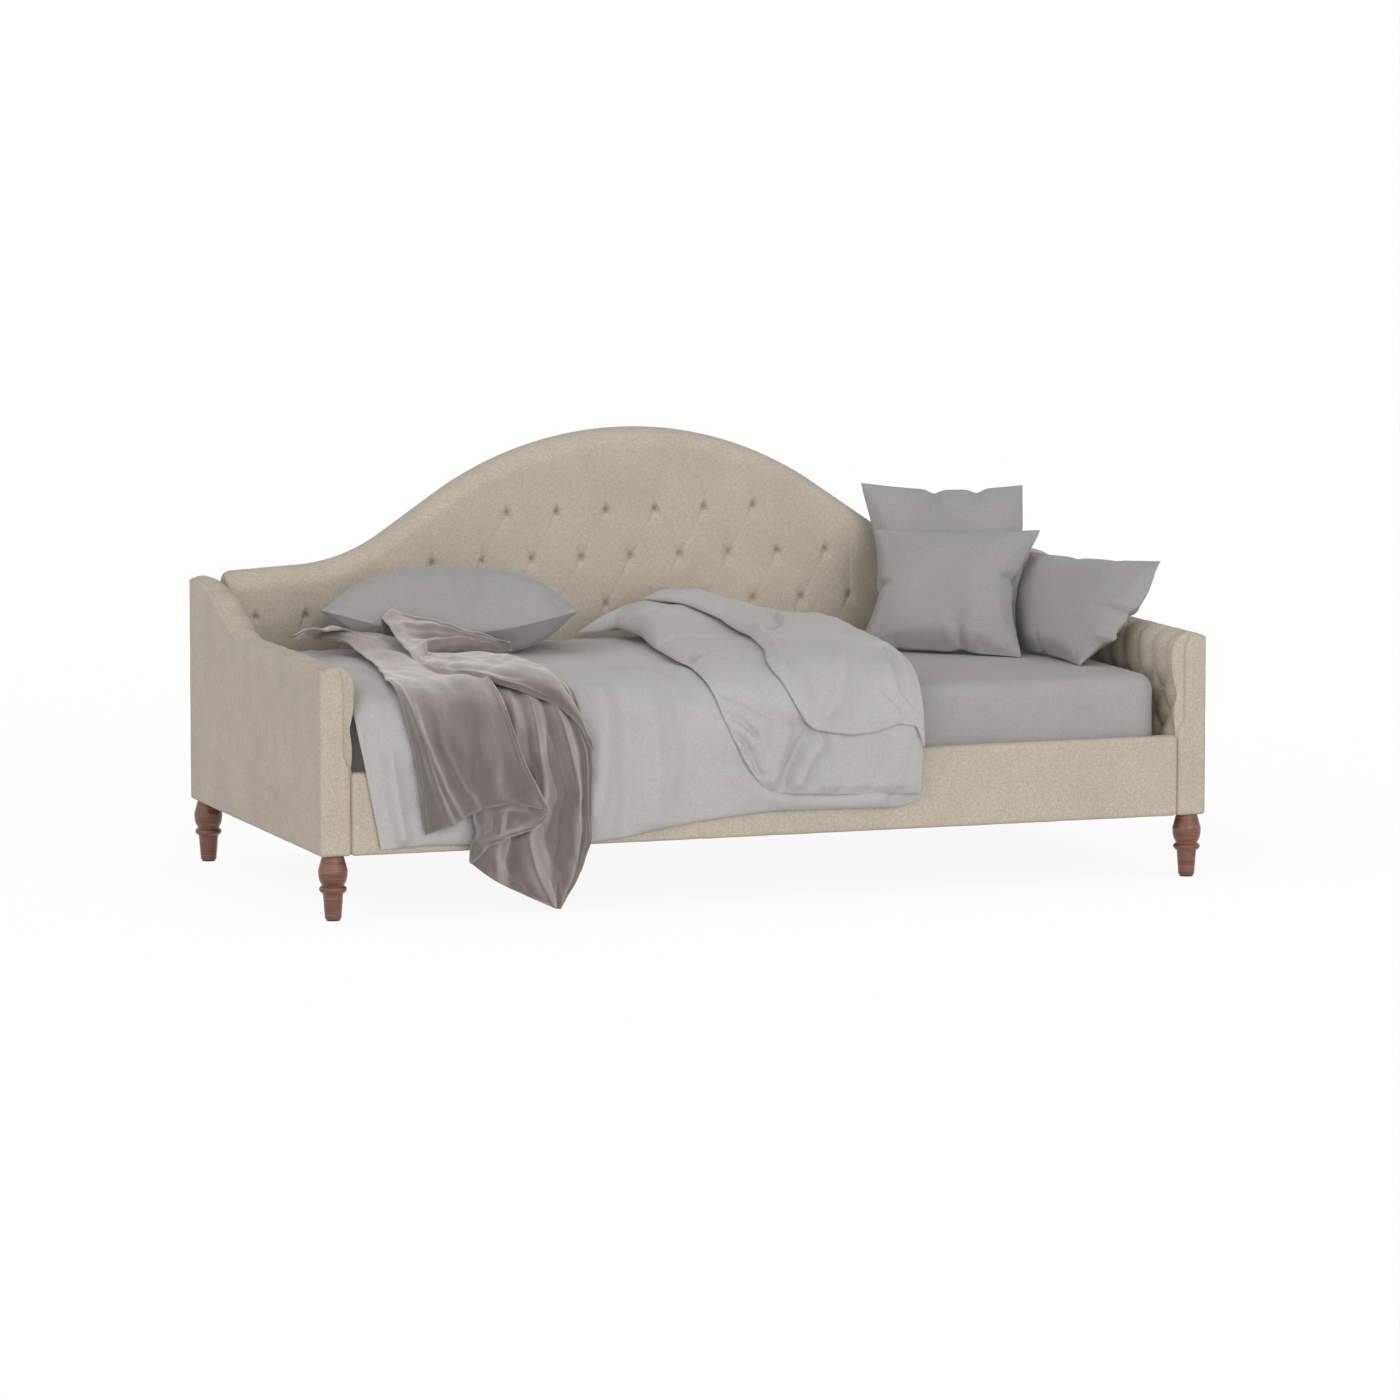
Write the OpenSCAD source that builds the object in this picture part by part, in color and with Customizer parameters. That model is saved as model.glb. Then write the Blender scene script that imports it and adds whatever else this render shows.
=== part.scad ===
// Upholstered camelback daybed with swooping, channel-tufted arms, on four
// turned legs, dressed with a mattress, a sheet, a duvet, a throw and cushions.
// Millimetres. +X is to the right along the bed, +Y to the back, +Z up.

/* [Overall] */
// Width over both arms
overall_w = 2100; // [2060:10:2300]
// Depth of the frame, front of the arms to the back
frame_d = 1050; // [1040:10:1150]
// Height of the back at its crest
overall_h = 980; // [940:5:1040]
// Floor to the underside of the upholstery
leg_h = 143; // [110:1:180]

/* [Back] */
// Thickness of the upholstered back, face of the tufts to the rear cover
back_t = 90; // [86:1:110]
// Radius of the hump in the middle of the top edge
hump_r = 840; // [800:10:880]
// Steepest slope of the top edge, in degrees
hump_slope = 34; // [30:1:36]
// Straight stretch between the hump and the hollow beside it
hump_straight = 157; // [120:1:190]
// Radius of the hollow between the hump and the shoulder
hollow_r = 393; // [340:1:440]
// Fall of the shoulders towards the arms, in degrees
shoulder_slope = 2.9; // [1:0.1:4]
// Thickness of the timber in the back
back_timber_t = 30; // [22:1:34]
// Depth of the shaped top rail of the back
back_top_rail_h = 70; // [50:1:90]
// Height of the bottom rail of the back
back_bottom_rail_h = 100; // [80:1:110]
// Width of the posts in the back
back_post_w = 50; // [40:1:70]
// Crest of the back behind its tufted face
back_crest = 45; // [38:1:50]

/* [Back tufting] */
// Spacing of the buttons along a row
tuft_x = 122; // [110:1:135]
// Spacing of the rows
tuft_z = 110; // [100:1:112]
// Height of the lowest row of buttons
tuft_base_z = 458; // [440:1:470]
// Least height of foam between a button and the top edge
tuft_margin = 100; // [92:1:106]
// Rise of the foam between the buttons of the back
back_puff = 15; // [8:1:20]
// Radius of a button on the back
back_button_r = 6; // [5:0.5:9]

/* [Arms] */
// Thickness of an arm
arm_t = 70; // [70:1:90]
// Height of an arm's crest at the front
arm_front_h = 558; // [545:1:580]
// Rise of the arm towards the back
arm_rise = 103; // [80:1:110]
// Where the swoop starts, back from the arm's front face
swoop_start = 625; // [580:5:650]
// Length of the swoop
swoop_l = 360; // [320:5:380]
// Thickness of the timber in an arm
arm_timber_t = 38; // [30:1:40]
// Height of the bottom rail of an arm
arm_bottom_rail_h = 80; // [70:1:100]
// Width of the posts in an arm
arm_post_w = 50; // [40:1:70]
// Crest of an arm, in from its outer face
arm_crest = 33; // [30:1:36]

/* [Arm tufting] */
// Spacing of the channels along the arm
channel_pitch = 82.5; // [76:0.5:84]
// First channel, back from the arm's front face
channel_start = 70; // [62:1:80]
// Number of channels
channel_count = 11; // [10:1:11]
// Spacing of the button rows on the arm
arm_tuft_z = 46; // [40:1:48]
// Height of the lowest row of buttons on the arm
arm_tuft_base_z = 328; // [320:1:334]
// Rise of the foam between the channels of an arm
arm_puff = 10; // [6:1:12]
// Radius of a button on an arm
arm_button_r = 5; // [4:0.5:7]
// Start of the tufted pad, back from the arm's front face
arm_pad_front = 20; // [16:1:25]
// Plain part of the arm behind the tufted pad
arm_pad_back = 125; // [110:1:130]

/* [Padding and boards] */
// Thickness of the padded cover on the outer faces
cover_t = 6; // [4:0.5:8]
// Thickness of the hardboard that carries the tufted pads
board_t = 4; // [3:0.5:5]
// Lower edge of the tufted pads
pad_bottom_z = 262; // [258:1:275]
// Play between parts that are bolted side by side
side_play = 0.5; // [0.2:0.1:0.8]
// Thickness of a covered button
button_t = 4; // [3:0.5:5]

/* [Front rail and slats] */
// Thickness of the upholstered front rail
rail_t = 38; // [36:1:50]
// Height of the front rail
rail_h = 183; // [170:1:190]
// Thickness of the board in the front rail
rail_board_t = 22; // [18:1:24]
// Radius of the front rail's upper edges
rail_round = 12; // [8:1:14]
// Side of the square ledgers that carry the slats
ledger = 30; // [25:1:34]
// Underside of the slats above the floor
slat_base_z = 247; // [240:1:252]
// Number of slats
slat_count = 14; // [12:1:14]
// Width of a slat
slat_w = 70; // [60:1:90]
// Thickness of a slat
slat_t = 14; // [12:1:18]
// Width of the webbing straps on the slats
strap_w = 25; // [20:1:40]
// Thickness of the webbing straps
strap_t = 1.2; // [0.8:0.1:2]

/* [Legs] */
// Distance of a leg's centre from the arm's front or back face
leg_inset = 30; // [30:1:60]
// Radius of the leg at its top
leg_top_r = 24; // [22:0.5:26]
// Radius of the bulb
bulb_r = 32.5; // [30:0.5:34]
// Radius of the neck under the bulb
neck_r = 25; // [22:0.5:26]
// Radius of the ring
ring_r = 30.5; // [28:0.5:32]
// Radius of the shank below the ring
shank_r = 22.4; // [21:0.2:24]
// Radius of the foot
foot_r = 18.2; // [16:0.2:21]
// Thickness of the glide under the foot
glide_t = 3; // [2:0.5:5]

/* [Fittings] */
// Diameter of the leg bolts and bracket bolts
bolt_d = 8; // [6:1:10]
// Length of a leg bolt
leg_bolt_l = 80; // [60:1:100]
// Width of each flange of a corner bracket
bracket_w = 50; // [45:1:60]
// Height of a corner bracket
bracket_h = 60; // [50:1:62]
// Thickness of a corner bracket
bracket_t = 3; // [2:0.5:4]
// Length of the shank of a bracket bolt
bracket_bolt_l = 24; // [18:1:26]
// Diameter of the ledger screws
screw_d = 5; // [4:0.5:6]
// Number of screws in a ledger
screw_count = 6; // [4:1:8]
// Play of a bolt or a screw in its hole
bolt_play = 0.2; // [0.1:0.05:0.4]

/* [Bedding] */
// Room between the mattress and the arms, both ends together
mattress_end_play = 60; // [40:5:80]
// Room between the mattress and the tufted back
mattress_back_play = 22; // [18:1:40]
// Thickness of the mattress
mattress_h = 200; // [180:5:220]
// How far the mattress lies left of the middle
mattress_shift = 11; // [0:1:15]
// Radius of the mattress's edges
mattress_round = 26; // [20:1:35]
// Thickness of the fitted sheet
sheet_t = 1; // [0.6:0.1:1.5]
// How far the bedding hangs in front of the frame
hang_d = 60; // [56:1:80]
// Thickness of the duvet where it lies
duvet_t = 44; // [30:1:50]
// Thickness of the duvet where it is folded back on itself
duvet_fold_t = 60; // [40:1:70]
// Thickness of the folded duvet where it hangs
duvet_fold_hang_t = 27; // [22:1:30]
// Rise of the folded duvet where it is bunched against the back
duvet_bunch = 35; // [20:1:45]
// Thickness of the throw
throw_t = 12; // [6:1:14]
// Thickness of the pillow
pillow_t = 180; // [160:5:190]
// Height of the square cushion at the back
square_cushion_h = 400; // [380:10:420]
// Height of the two low cushions
low_cushion_h = 300; // [280:10:320]
// Thickness of a cushion
cushion_t = 100; // [80:5:105]

/* [Hidden] */
half_w = overall_w / 2;
front_y = -frame_d / 2;
back_y = frame_d / 2;
inner_x = half_w - arm_t;
// The bedding hangs in front of the frame, and the origin lies under the middle of both
frame_y = hang_d / 2;

linen = [0.78, 0.73, 0.65];
timber = [0.80, 0.68, 0.50];
hardboard = [0.55, 0.42, 0.30];
walnut = [0.38, 0.20, 0.15];
steel = [0.62, 0.63, 0.65];
webbing = [0.85, 0.85, 0.82];
grey_cloth = [0.60, 0.60, 0.60];
light_grey_cloth = [0.70, 0.71, 0.71];
taupe_cloth = [0.58, 0.52, 0.50];

SLATS = [for (k = [1:slat_count]) str("slat_", k)];

$fn = 48;

// ---- Curves and lofts ----

function even(n) = n % 2 == 0;

// Points on an arc about [x, y], from angle a0 to a1
function arc(x, y, r, a0, a1, steps) =
    [for (k = [0:steps]) let (a = a0 + (a1 - a0) * k / steps) [x + r * cos(a), y + r * sin(a)]];

// A closed solid through rings of equally many points. The quad after point k of ring i
// is split along its rising diagonal where rising(i, k) holds.
module loft(rings, rising = function(i, k) true) {
    n = len(rings[0]);
    last = (len(rings) - 1) * n;
    sides = [for (i = [0:len(rings) - 2]) for (k = [0:n - 1])
        let (a = i * n + k, b = i * n + (k + 1) % n, c = b + n, d = a + n)
        each (rising(i, k) ? [[a, d, c], [a, c, b]] : [[a, d, b], [d, c, b]])];
    polyhedron([for (ring = rings) each ring],
        concat([[for (k = [0:n - 1]) k]], sides, [[for (k = [n - 1:-1:0]) last + k]]),
        convexity = 8);
}

// Rounded box that stands on the floor plane, its edges and corners rounded by r
module padded_block(l, w, h, r) {
    mid_l = l / 2 - 2 * r;
    mid_w = w / 2 - 2 * r;
    levels = [[h, r], [h - 0.3 * r, 0.3 * r], [h - r, 0], [r, 0], [0.3 * r, 0.3 * r], [0, r]];
    loft([for (level = levels) [for (p = concat(
        arc(mid_l, mid_w, 2 * r - level[1], 90, 0, 4),
        arc(mid_l, -mid_w, 2 * r - level[1], 0, -90, 4),
        arc(-mid_l, -mid_w, 2 * r - level[1], -90, -180, 4),
        arc(-mid_l, mid_w, 2 * r - level[1], 180, 90, 4)))
        [p[0], p[1], level[0]]]]);
}

// ---- Tufting ----
// Buttons stand on a net of columns and rows, two columns and two rows apart. Pleats join
// each button to its neighbours, and where none is left above or below they run straight.

function top_button(i, has, rows) = max(concat([-1], [for (j = [0:2:rows]) if (has(i, j)) j]));

function on_straight_pleat(i, j, has, rows) =
    let (top = top_button(i, has, rows))
    j < 0 ? has(i, 0)
          : top >= 0 && j > top && !(has(i - 2, top + 2) && has(i + 2, top + 2));

function on_pleat(i, j, has, rows) =
    even(i)
        ? has(i, j) || on_straight_pleat(i, j, has, rows)
        : !even(j) && ((has(i - 1, j - 1) && has(i + 1, j + 1))
                    || (has(i - 1, j + 1) && has(i + 1, j - 1)));

// Share of the foam's full rise at a knot of the net
function puff_share(i, j, has, rows) =
    on_pleat(i, j, has, rows) ? 0
        : on_pleat(i - 1, j, has, rows) || on_pleat(i + 1, j, has, rows) ? 0.7
        : 1;

// Share of a pleat's depth that is left where it crosses the crest
crest_sink = 0.3;

// How far out of its valley a button of radius r sits, its rim on the foam around it
function button_seat(r, puff, dx, dz) = 0.7 * puff * r * norm([1 / dx, 1 / dz]);

// A button with its domed face along +Z
module button(r) {
    rotate_extrude()
        polygon([[0, 0], [r, 0], [r, button_t * 0.4], [r * 0.75, button_t * 0.8], [0, button_t]]);
}

// ---- Back ----

back_half = inner_x - side_play;
hump_x = hump_r * sin(hump_slope);
hump_z = overall_h - hump_r * (1 - cos(hump_slope));
hollow_x = hump_x + hump_straight * cos(hump_slope);
hollow_z = hump_z - hump_straight * sin(hump_slope);
hollow_mid_x = hollow_x + hollow_r * sin(hump_slope);
hollow_mid_z = hollow_z + hollow_r * cos(hump_slope);
shoulder_x = hollow_mid_x - hollow_r * sin(shoulder_slope);
shoulder_z = hollow_mid_z - hollow_r * cos(shoulder_slope);

// Height of the top edge at a distance from the middle
function back_top(x) =
    let (d = abs(x))
    d < hump_x ? overall_h - hump_r + sqrt(hump_r * hump_r - d * d)
    : d < hollow_x ? hump_z - (d - hump_x) * tan(hump_slope)
    : d < shoulder_x ? hollow_mid_z - sqrt(hollow_r * hollow_r - pow(hollow_mid_x - d, 2))
    : shoulder_z - (d - shoulder_x) * tan(shoulder_slope);

back_timber_y = back_y - cover_t - back_timber_t;
back_board_y = back_timber_y - board_t;
back_valley_y = back_y - back_t + back_puff;
back_crest_y = back_y - back_crest;
back_timber_drop = 40;
back_seam_drop = 35;
back_crown_drop = 45;
column = tuft_x / 4;
back_columns = floor((back_half - 5) / column);
back_rows = 6;
spring_row = 8;

function back_column_x(i) = abs(i) > back_columns ? sign(i) * back_half : i * column;
function back_spring(i) = back_top(back_column_x(i)) - back_crown_drop;
function back_fixed_row(i) =
    max([for (j = [0:back_rows]) if (tuft_base_z + j * tuft_z / 2 < back_spring(i) - 15) j]);
function back_row_z(i, j) =
    let (fixed = back_fixed_row(i), z = tuft_base_z + min(j, fixed) * tuft_z / 2)
    j <= fixed ? z : z + (back_spring(i) - z) * (j - fixed) / (spring_row - fixed);

back_has = function(i, j) j >= 0 && j <= back_rows && even(i) && even(j) && (i - j) % 4 == 0
    && abs(i) <= back_columns
    && tuft_base_z + j * tuft_z / 2 <= back_top(i * column) - tuft_margin;

// Outline of the back in the plane of its timber, its top edge lowered by drop
module back_outline(drop, bottom, half = back_half) {
    polygon(concat([[-half, bottom]],
        [for (i = [-back_columns - 1:back_columns + 1])
            let (x = max(-half, min(half, back_column_x(i)))) [x, back_top(x) - drop]],
        [[half, bottom]]));
}

// Stands a drawing in X and Z up, with its front at y and its thickness towards the back
module upright(y, t) {
    translate([0, y + t, 0]) rotate([90, 0, 0]) linear_extrude(t) children();
}

module at_frame() {
    translate([0, frame_y, 0]) children();
}

module back_bottom_rail() {
    color(timber) at_frame() difference() {
        translate([-back_half, back_timber_y, leg_h + cover_t])
            cube([2 * back_half, back_timber_t, back_bottom_rail_h]);
        bracket_bolt_set(bolt_play);
        ledger_screw_set(bolt_play);
    }
}

module back_top_rail() {
    color(timber) at_frame() upright(back_timber_y, back_timber_t) difference() {
        back_outline(back_timber_drop, leg_h + cover_t);
        back_outline(back_timber_drop + back_top_rail_h, leg_h, back_half + 1);
    }
}

module back_posts() {
    bottom = leg_h + cover_t + back_bottom_rail_h;
    spacing = (2 * back_half - back_post_w) / 4;
    color(timber) at_frame() upright(back_timber_y, back_timber_t) intersection() {
        back_outline(back_timber_drop + back_top_rail_h, bottom);
        for (k = [0:4])
            translate([-back_half + k * spacing, bottom]) square([back_post_w, overall_h]);
    }
}

module back_board() {
    color(hardboard) at_frame() difference() {
        upright(back_board_y, board_t) back_outline(back_timber_drop, leg_h + cover_t);
        bracket_bolt_set(bolt_play);
        ledger_screw_set(bolt_play);
    }
}

// Section of the tufted pad at column i: up the face, over the crest to the rear seam,
// and back along the timber and the board
function back_ring(i) =
    let (x = back_column_x(i), top = back_top(x),
         sink = function(j) back_puff * (1 - puff_share(i, j, back_has, back_rows)),
         d = sink(spring_row), a = back_crest_y - back_valley_y + back_puff)
    concat(
        [[x, back_valley_y - back_puff + sink(-1), pad_bottom_z]],
        [for (j = [0:spring_row]) [x, back_valley_y - back_puff + sink(j), back_row_z(i, j)]],
        [for (t = [30:30:90])
            [x, back_crest_y - (a - d) * cos(t), top - back_crown_drop + (back_crown_drop - crest_sink * d) * sin(t)]],
        [for (t = [30:30:90])
            [x, back_crest_y + back_crest * sin(t), top - back_seam_drop + (back_seam_drop - crest_sink * d * cos(t)) * cos(t)]],
        [[x, back_y - cover_t, top - back_seam_drop],
         [x, back_y - cover_t, top - back_timber_drop],
         [x, back_board_y, top - back_timber_drop],
         [x, back_board_y, pad_bottom_z]]);

module back_pad() {
    last = back_columns + 1;
    color(linen) at_frame()
        loft([for (i = [last:-1:-last]) back_ring(i)],
            function(s, k) (last - s - 1 - k + 1) % 4 != 0);
}

module back_buttons() {
    seat = button_seat(back_button_r, back_puff, column, tuft_z / 2);
    color(linen) at_frame()
        for (at = [for (i = [-back_columns:back_columns]) for (j = [0:2:back_rows]) if (back_has(i, j)) [i, j]])
            translate([at[0] * column, back_valley_y - seat, tuft_base_z + at[1] * tuft_z / 2])
                rotate([90, 0, 0]) button(back_button_r);
}

module back_cover() {
    color(linen) at_frame() {
        upright(back_y - cover_t, cover_t) back_outline(back_seam_drop, leg_h);
        translate([-back_half, back_board_y, leg_h])
            cube([2 * back_half, back_y - cover_t - back_board_y, cover_t]);
    }
}

// ---- Arms ----
// An arm is drawn as the right one: s runs in from its outer face.

arm_inner_drop = 42;
arm_outer_drop = 12;
arm_timber_drop = 30;
arm_top_rail_h = 50;
arm_seam_s = 12;
pad_play = 0.5;
arm_corner = 6;
arm_end_round = 12;
arm_board_s = cover_t + arm_timber_t;
arm_pad_s = arm_board_s + board_t;
arm_bottom_rail_t = arm_t - 2 * cover_t;
pad_front_y = front_y + arm_pad_front;
pad_back_y = back_y - arm_pad_back;
channel_column = channel_pitch / 4;
channel_last = (channel_count - 1) * 4;

// Height of the arm's crest along its length
function arm_top(y) =
    let (t = max(0, min(1, (y - front_y - swoop_start) / swoop_l)))
    arm_front_h + arm_rise * t * t * (3 - 2 * t);

swoop_steps = 18;
swoop_stations = [for (k = [0:swoop_steps]) front_y + swoop_start + swoop_l * k / swoop_steps];

// Side outline of the arm, its top lowered by drop, between two planes in Y
module arm_side(drop, bottom, y0, y1) {
    inside = [for (y = swoop_stations) if (y > y0 && y < y1) y];
    polygon(concat([[y0, bottom], [y0, arm_top(y0) - drop]],
        [for (y = inside) [y, arm_top(y) - drop]],
        [[y1, arm_top(y1) - drop], [y1, bottom]]));
}

// Extrudes a drawing in Y and Z from s0 to s1, in from the arm's outer face
module across_arm(s0, s1) {
    translate([half_w - s1, 0, 0])
        rotate([90, 0, 90]) linear_extrude(s1 - s0) children();
}

// Section of the whole arm, with its edges drawn in by d at the ends
function arm_ring(y, d) =
    let (top = arm_top(y) - d / 2, s0 = d / 2, s1 = arm_t - d)
    [for (p = concat(
        [[s1, leg_h + arm_corner], [s1 - arm_corner, leg_h],
         [s0 + arm_corner, leg_h], [s0, leg_h + arm_corner]],
        [for (t = [90:-30:0]) [arm_crest - (arm_crest - s0) * sin(t), top - arm_outer_drop * (1 - cos(t))]],
        [for (t = [30:20:90]) [arm_crest + (s1 - arm_crest) * sin(t), top - arm_inner_drop * (1 - cos(t))]]))
        [half_w - p[0], y, p[1]]];

module arm_body() {
    ends = [[0, arm_end_round], [0.3 * arm_end_round, 0.3 * arm_end_round], [arm_end_round, 0]];
    loft(concat(
        [for (e = ends) arm_ring(back_y - e[0], e[1])],
        [for (k = [swoop_steps:-1:0]) arm_ring(swoop_stations[k], 0)],
        [for (k = [2:-1:0]) arm_ring(front_y + ends[k][0], ends[k][1])]));
}

// Room for the tufted pad, inside the boards and over the top rail
module arm_pad_bay() {
    above = 60;
    across_arm(arm_pad_s, arm_t + 20)
        arm_side(-above, pad_bottom_z, pad_front_y, pad_back_y);
    across_arm(arm_seam_s, arm_t + 20) difference() {
        arm_side(-above, pad_bottom_z, pad_front_y, pad_back_y);
        arm_side(arm_timber_drop, pad_bottom_z - 1, pad_front_y - 1, pad_back_y + 1);
    }
}

module arm_cover() {
    timber_bottom = leg_h + cover_t;
    color(linen) at_frame() difference() {
        arm_body();
        arm_pad_bay();
        across_arm(cover_t, arm_pad_s)
            arm_side(arm_timber_drop, timber_bottom, front_y + cover_t, back_y - cover_t);
        across_arm(cover_t, arm_t - cover_t)
            translate([front_y + cover_t, timber_bottom])
                square([frame_d - 2 * cover_t, arm_bottom_rail_h]);
        leg_bolt_set(bolt_play);
        leg_tee_nut_set(bolt_play);
        bracket_bolt_set(bolt_play);
    }
}

module arm_bottom_rail() {
    color(timber) at_frame() difference() {
        across_arm(cover_t, arm_t - cover_t)
            translate([front_y + cover_t, leg_h + cover_t])
                square([frame_d - 2 * cover_t, arm_bottom_rail_h]);
        leg_bolt_set(bolt_play);
        leg_tee_nut_set(bolt_play);
        bracket_bolt_set(bolt_play);
    }
}

module arm_top_rail() {
    y0 = front_y + cover_t;
    y1 = back_y - cover_t;
    color(timber) at_frame() across_arm(cover_t, arm_board_s) difference() {
        arm_side(arm_timber_drop, leg_h, y0, y1);
        arm_side(arm_timber_drop + arm_top_rail_h, leg_h - 1, y0 - 1, y1 + 1);
    }
}

module arm_posts() {
    bottom = leg_h + cover_t + arm_bottom_rail_h;
    y0 = front_y + cover_t;
    spacing = (frame_d - 2 * cover_t - arm_post_w) / 2;
    color(timber) at_frame() across_arm(cover_t, arm_board_s) intersection() {
        arm_side(arm_timber_drop + arm_top_rail_h, bottom, y0, back_y - cover_t);
        for (k = [0:2])
            translate([y0 + k * spacing, bottom]) square([arm_post_w, overall_h]);
    }
}

module arm_board() {
    color(hardboard) at_frame() across_arm(arm_board_s, arm_pad_s)
        arm_side(arm_timber_drop, leg_h + cover_t + arm_bottom_rail_h, front_y + cover_t, back_y - cover_t);
}

arm_rows = 6;
arm_has = function(c, j) j >= 0 && j <= arm_rows && even(c) && even(j) && (c + j + 2) % 4 == 0
    && c >= 0 && c <= channel_last;

function channel_y(c) = max(pad_front_y, min(pad_back_y, front_y + channel_start + c * channel_column));
function arm_row_z(y, j) =
    let (base = arm_tuft_base_z + min(j, arm_rows) * arm_tuft_z / 2)
    j <= arm_rows ? base
        : base + (arm_top(y) - arm_inner_drop - base) * (j - arm_rows) / (spring_row - arm_rows);

// Section of the arm's tufted pad at column c: up the inner face, over the crest to the
// outer seam, and back along the top rail and the board
function arm_pad_ring(c) =
    let (y = channel_y(c), top = arm_top(y),
         sink = function(j) arm_puff * (1 - puff_share(c, j, arm_has, arm_rows)),
         d = sink(spring_row),
         seam_angle = asin((arm_crest - arm_seam_s) / arm_crest))
    [for (p = concat(
        [[arm_t - sink(-1), pad_bottom_z]],
        [for (j = [0:spring_row]) [arm_t - sink(j), arm_row_z(y, j)]],
        [for (t = [60:-30:0]) [arm_crest + (arm_t - arm_crest - d) * sin(t),
            top - arm_inner_drop + (arm_inner_drop - crest_sink * d) * cos(t)]],
        [for (t = [seam_angle / 2, seam_angle]) [arm_crest - arm_crest * sin(t),
            top - arm_outer_drop + (arm_outer_drop - crest_sink * d * (1 - t / seam_angle)) * cos(t)]],
        [[arm_seam_s, top - arm_timber_drop + pad_play], [arm_pad_s, top - arm_timber_drop + pad_play],
         [arm_pad_s, pad_bottom_z]]))
        [half_w - p[0], y, p[1]]];

module arm_pad() {
    color(linen) at_frame()
        loft([for (c = [-3:channel_last + 2])
                if (channel_y(c) < channel_y(c + 1) || c == channel_last + 2) arm_pad_ring(c)],
            function(s, k) (s + k) % 4 == 0);
}

module arm_buttons() {
    seat = button_seat(arm_button_r, arm_puff, channel_column, arm_tuft_z / 2);
    color(linen) at_frame()
        for (at = [for (c = [0:channel_last]) for (j = [0:2:arm_rows]) if (arm_has(c, j)) [c, j]])
            translate([inner_x + arm_puff - seat, channel_y(at[0]), arm_row_z(channel_y(at[0]), at[1])])
                rotate([0, -90, 0]) button(arm_button_r);
}

module left() {
    mirror([1, 0, 0]) children();
}

module left_arm_bottom_rail() { left() arm_bottom_rail(); }
module left_arm_top_rail() { left() arm_top_rail(); }
module left_arm_posts() { left() arm_posts(); }
module left_arm_board() { left() arm_board(); }
module left_arm_pad() { left() arm_pad(); }
module left_arm_buttons() { left() arm_buttons(); }
module left_arm_cover() { left() arm_cover(); }

// ---- Front rail ----

rail_top_z = leg_h + rail_h;
rail_inner_y = front_y + rail_t;
rail_board_y = front_y + (rail_t - rail_board_t) / 2;
rail_board_margin = 8;

module front_rail_board() {
    color(timber) at_frame() difference() {
        translate([-inner_x, rail_board_y, leg_h + rail_board_margin])
            cube([2 * inner_x, rail_board_t, rail_h - 2 * rail_board_margin]);
        bracket_bolt_set(bolt_play);
        ledger_screw_set(bolt_play);
    }
}

module front_rail_cover() {
    r = rail_round;
    bottom_r = rail_board_margin;
    half = inner_x - side_play;
    color(linen) at_frame() difference() {
        translate([-half, 0, 0]) rotate([90, 0, 90]) linear_extrude(2 * half) polygon(concat(
            arc(front_y + bottom_r, leg_h + bottom_r, bottom_r, 180, 270, 6),
            arc(rail_inner_y - bottom_r, leg_h + bottom_r, bottom_r, 270, 360, 6),
            arc(rail_inner_y - r, rail_top_z - r, r, 0, 90, 8),
            arc(front_y + r, rail_top_z - r, r, 90, 180, 8)));
        translate([-inner_x, rail_board_y, leg_h + rail_board_margin])
            cube([2 * inner_x, rail_board_t, rail_h - 2 * rail_board_margin]);
        bracket_bolt_set(bolt_play);
        ledger_screw_set(bolt_play);
    }
}

// ---- Slats and their ledgers ----

ledger_z = slat_base_z - ledger;
slat_end_play = 2;
slat_top_z = slat_base_z + slat_t;

module ledger_at(y) {
    color(timber) at_frame() difference() {
        translate([-inner_x + bracket_t, y, ledger_z]) cube([2 * (inner_x - bracket_t), ledger, ledger]);
        ledger_screw_set(bolt_play);
    }
}

module front_ledger() { ledger_at(rail_inner_y); }
module back_ledger() { ledger_at(back_board_y - ledger); }

module slat(k) {
    pitch = 2 * inner_x / slat_count;
    y0 = rail_inner_y + slat_end_play;
    y1 = back_board_y - slat_end_play;
    edge = 3;
    color(timber) at_frame()
        translate([-inner_x + (k - 0.5) * pitch, y1, slat_base_z])
            rotate([90, 0, 0]) linear_extrude(y1 - y0) polygon(concat(
                [[-slat_w / 2, 0], [slat_w / 2, 0]],
                arc(slat_w / 2 - edge, slat_t - edge, edge, 0, 90, 4),
                arc(-slat_w / 2 + edge, slat_t - edge, edge, 90, 180, 4)));
}

module slat_straps() {
    pitch = 2 * inner_x / slat_count;
    l = (slat_count - 1) * pitch + slat_w;
    color(webbing) at_frame() for (y = [front_y / 2, back_y / 2])
        translate([-l / 2, y - strap_w / 2, slat_top_z]) cube([l, strap_w, strap_t]);
}

// ---- Legs ----

leg_x = half_w - arm_t / 2;
leg_y = frame_d / 2 - leg_inset;

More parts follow.
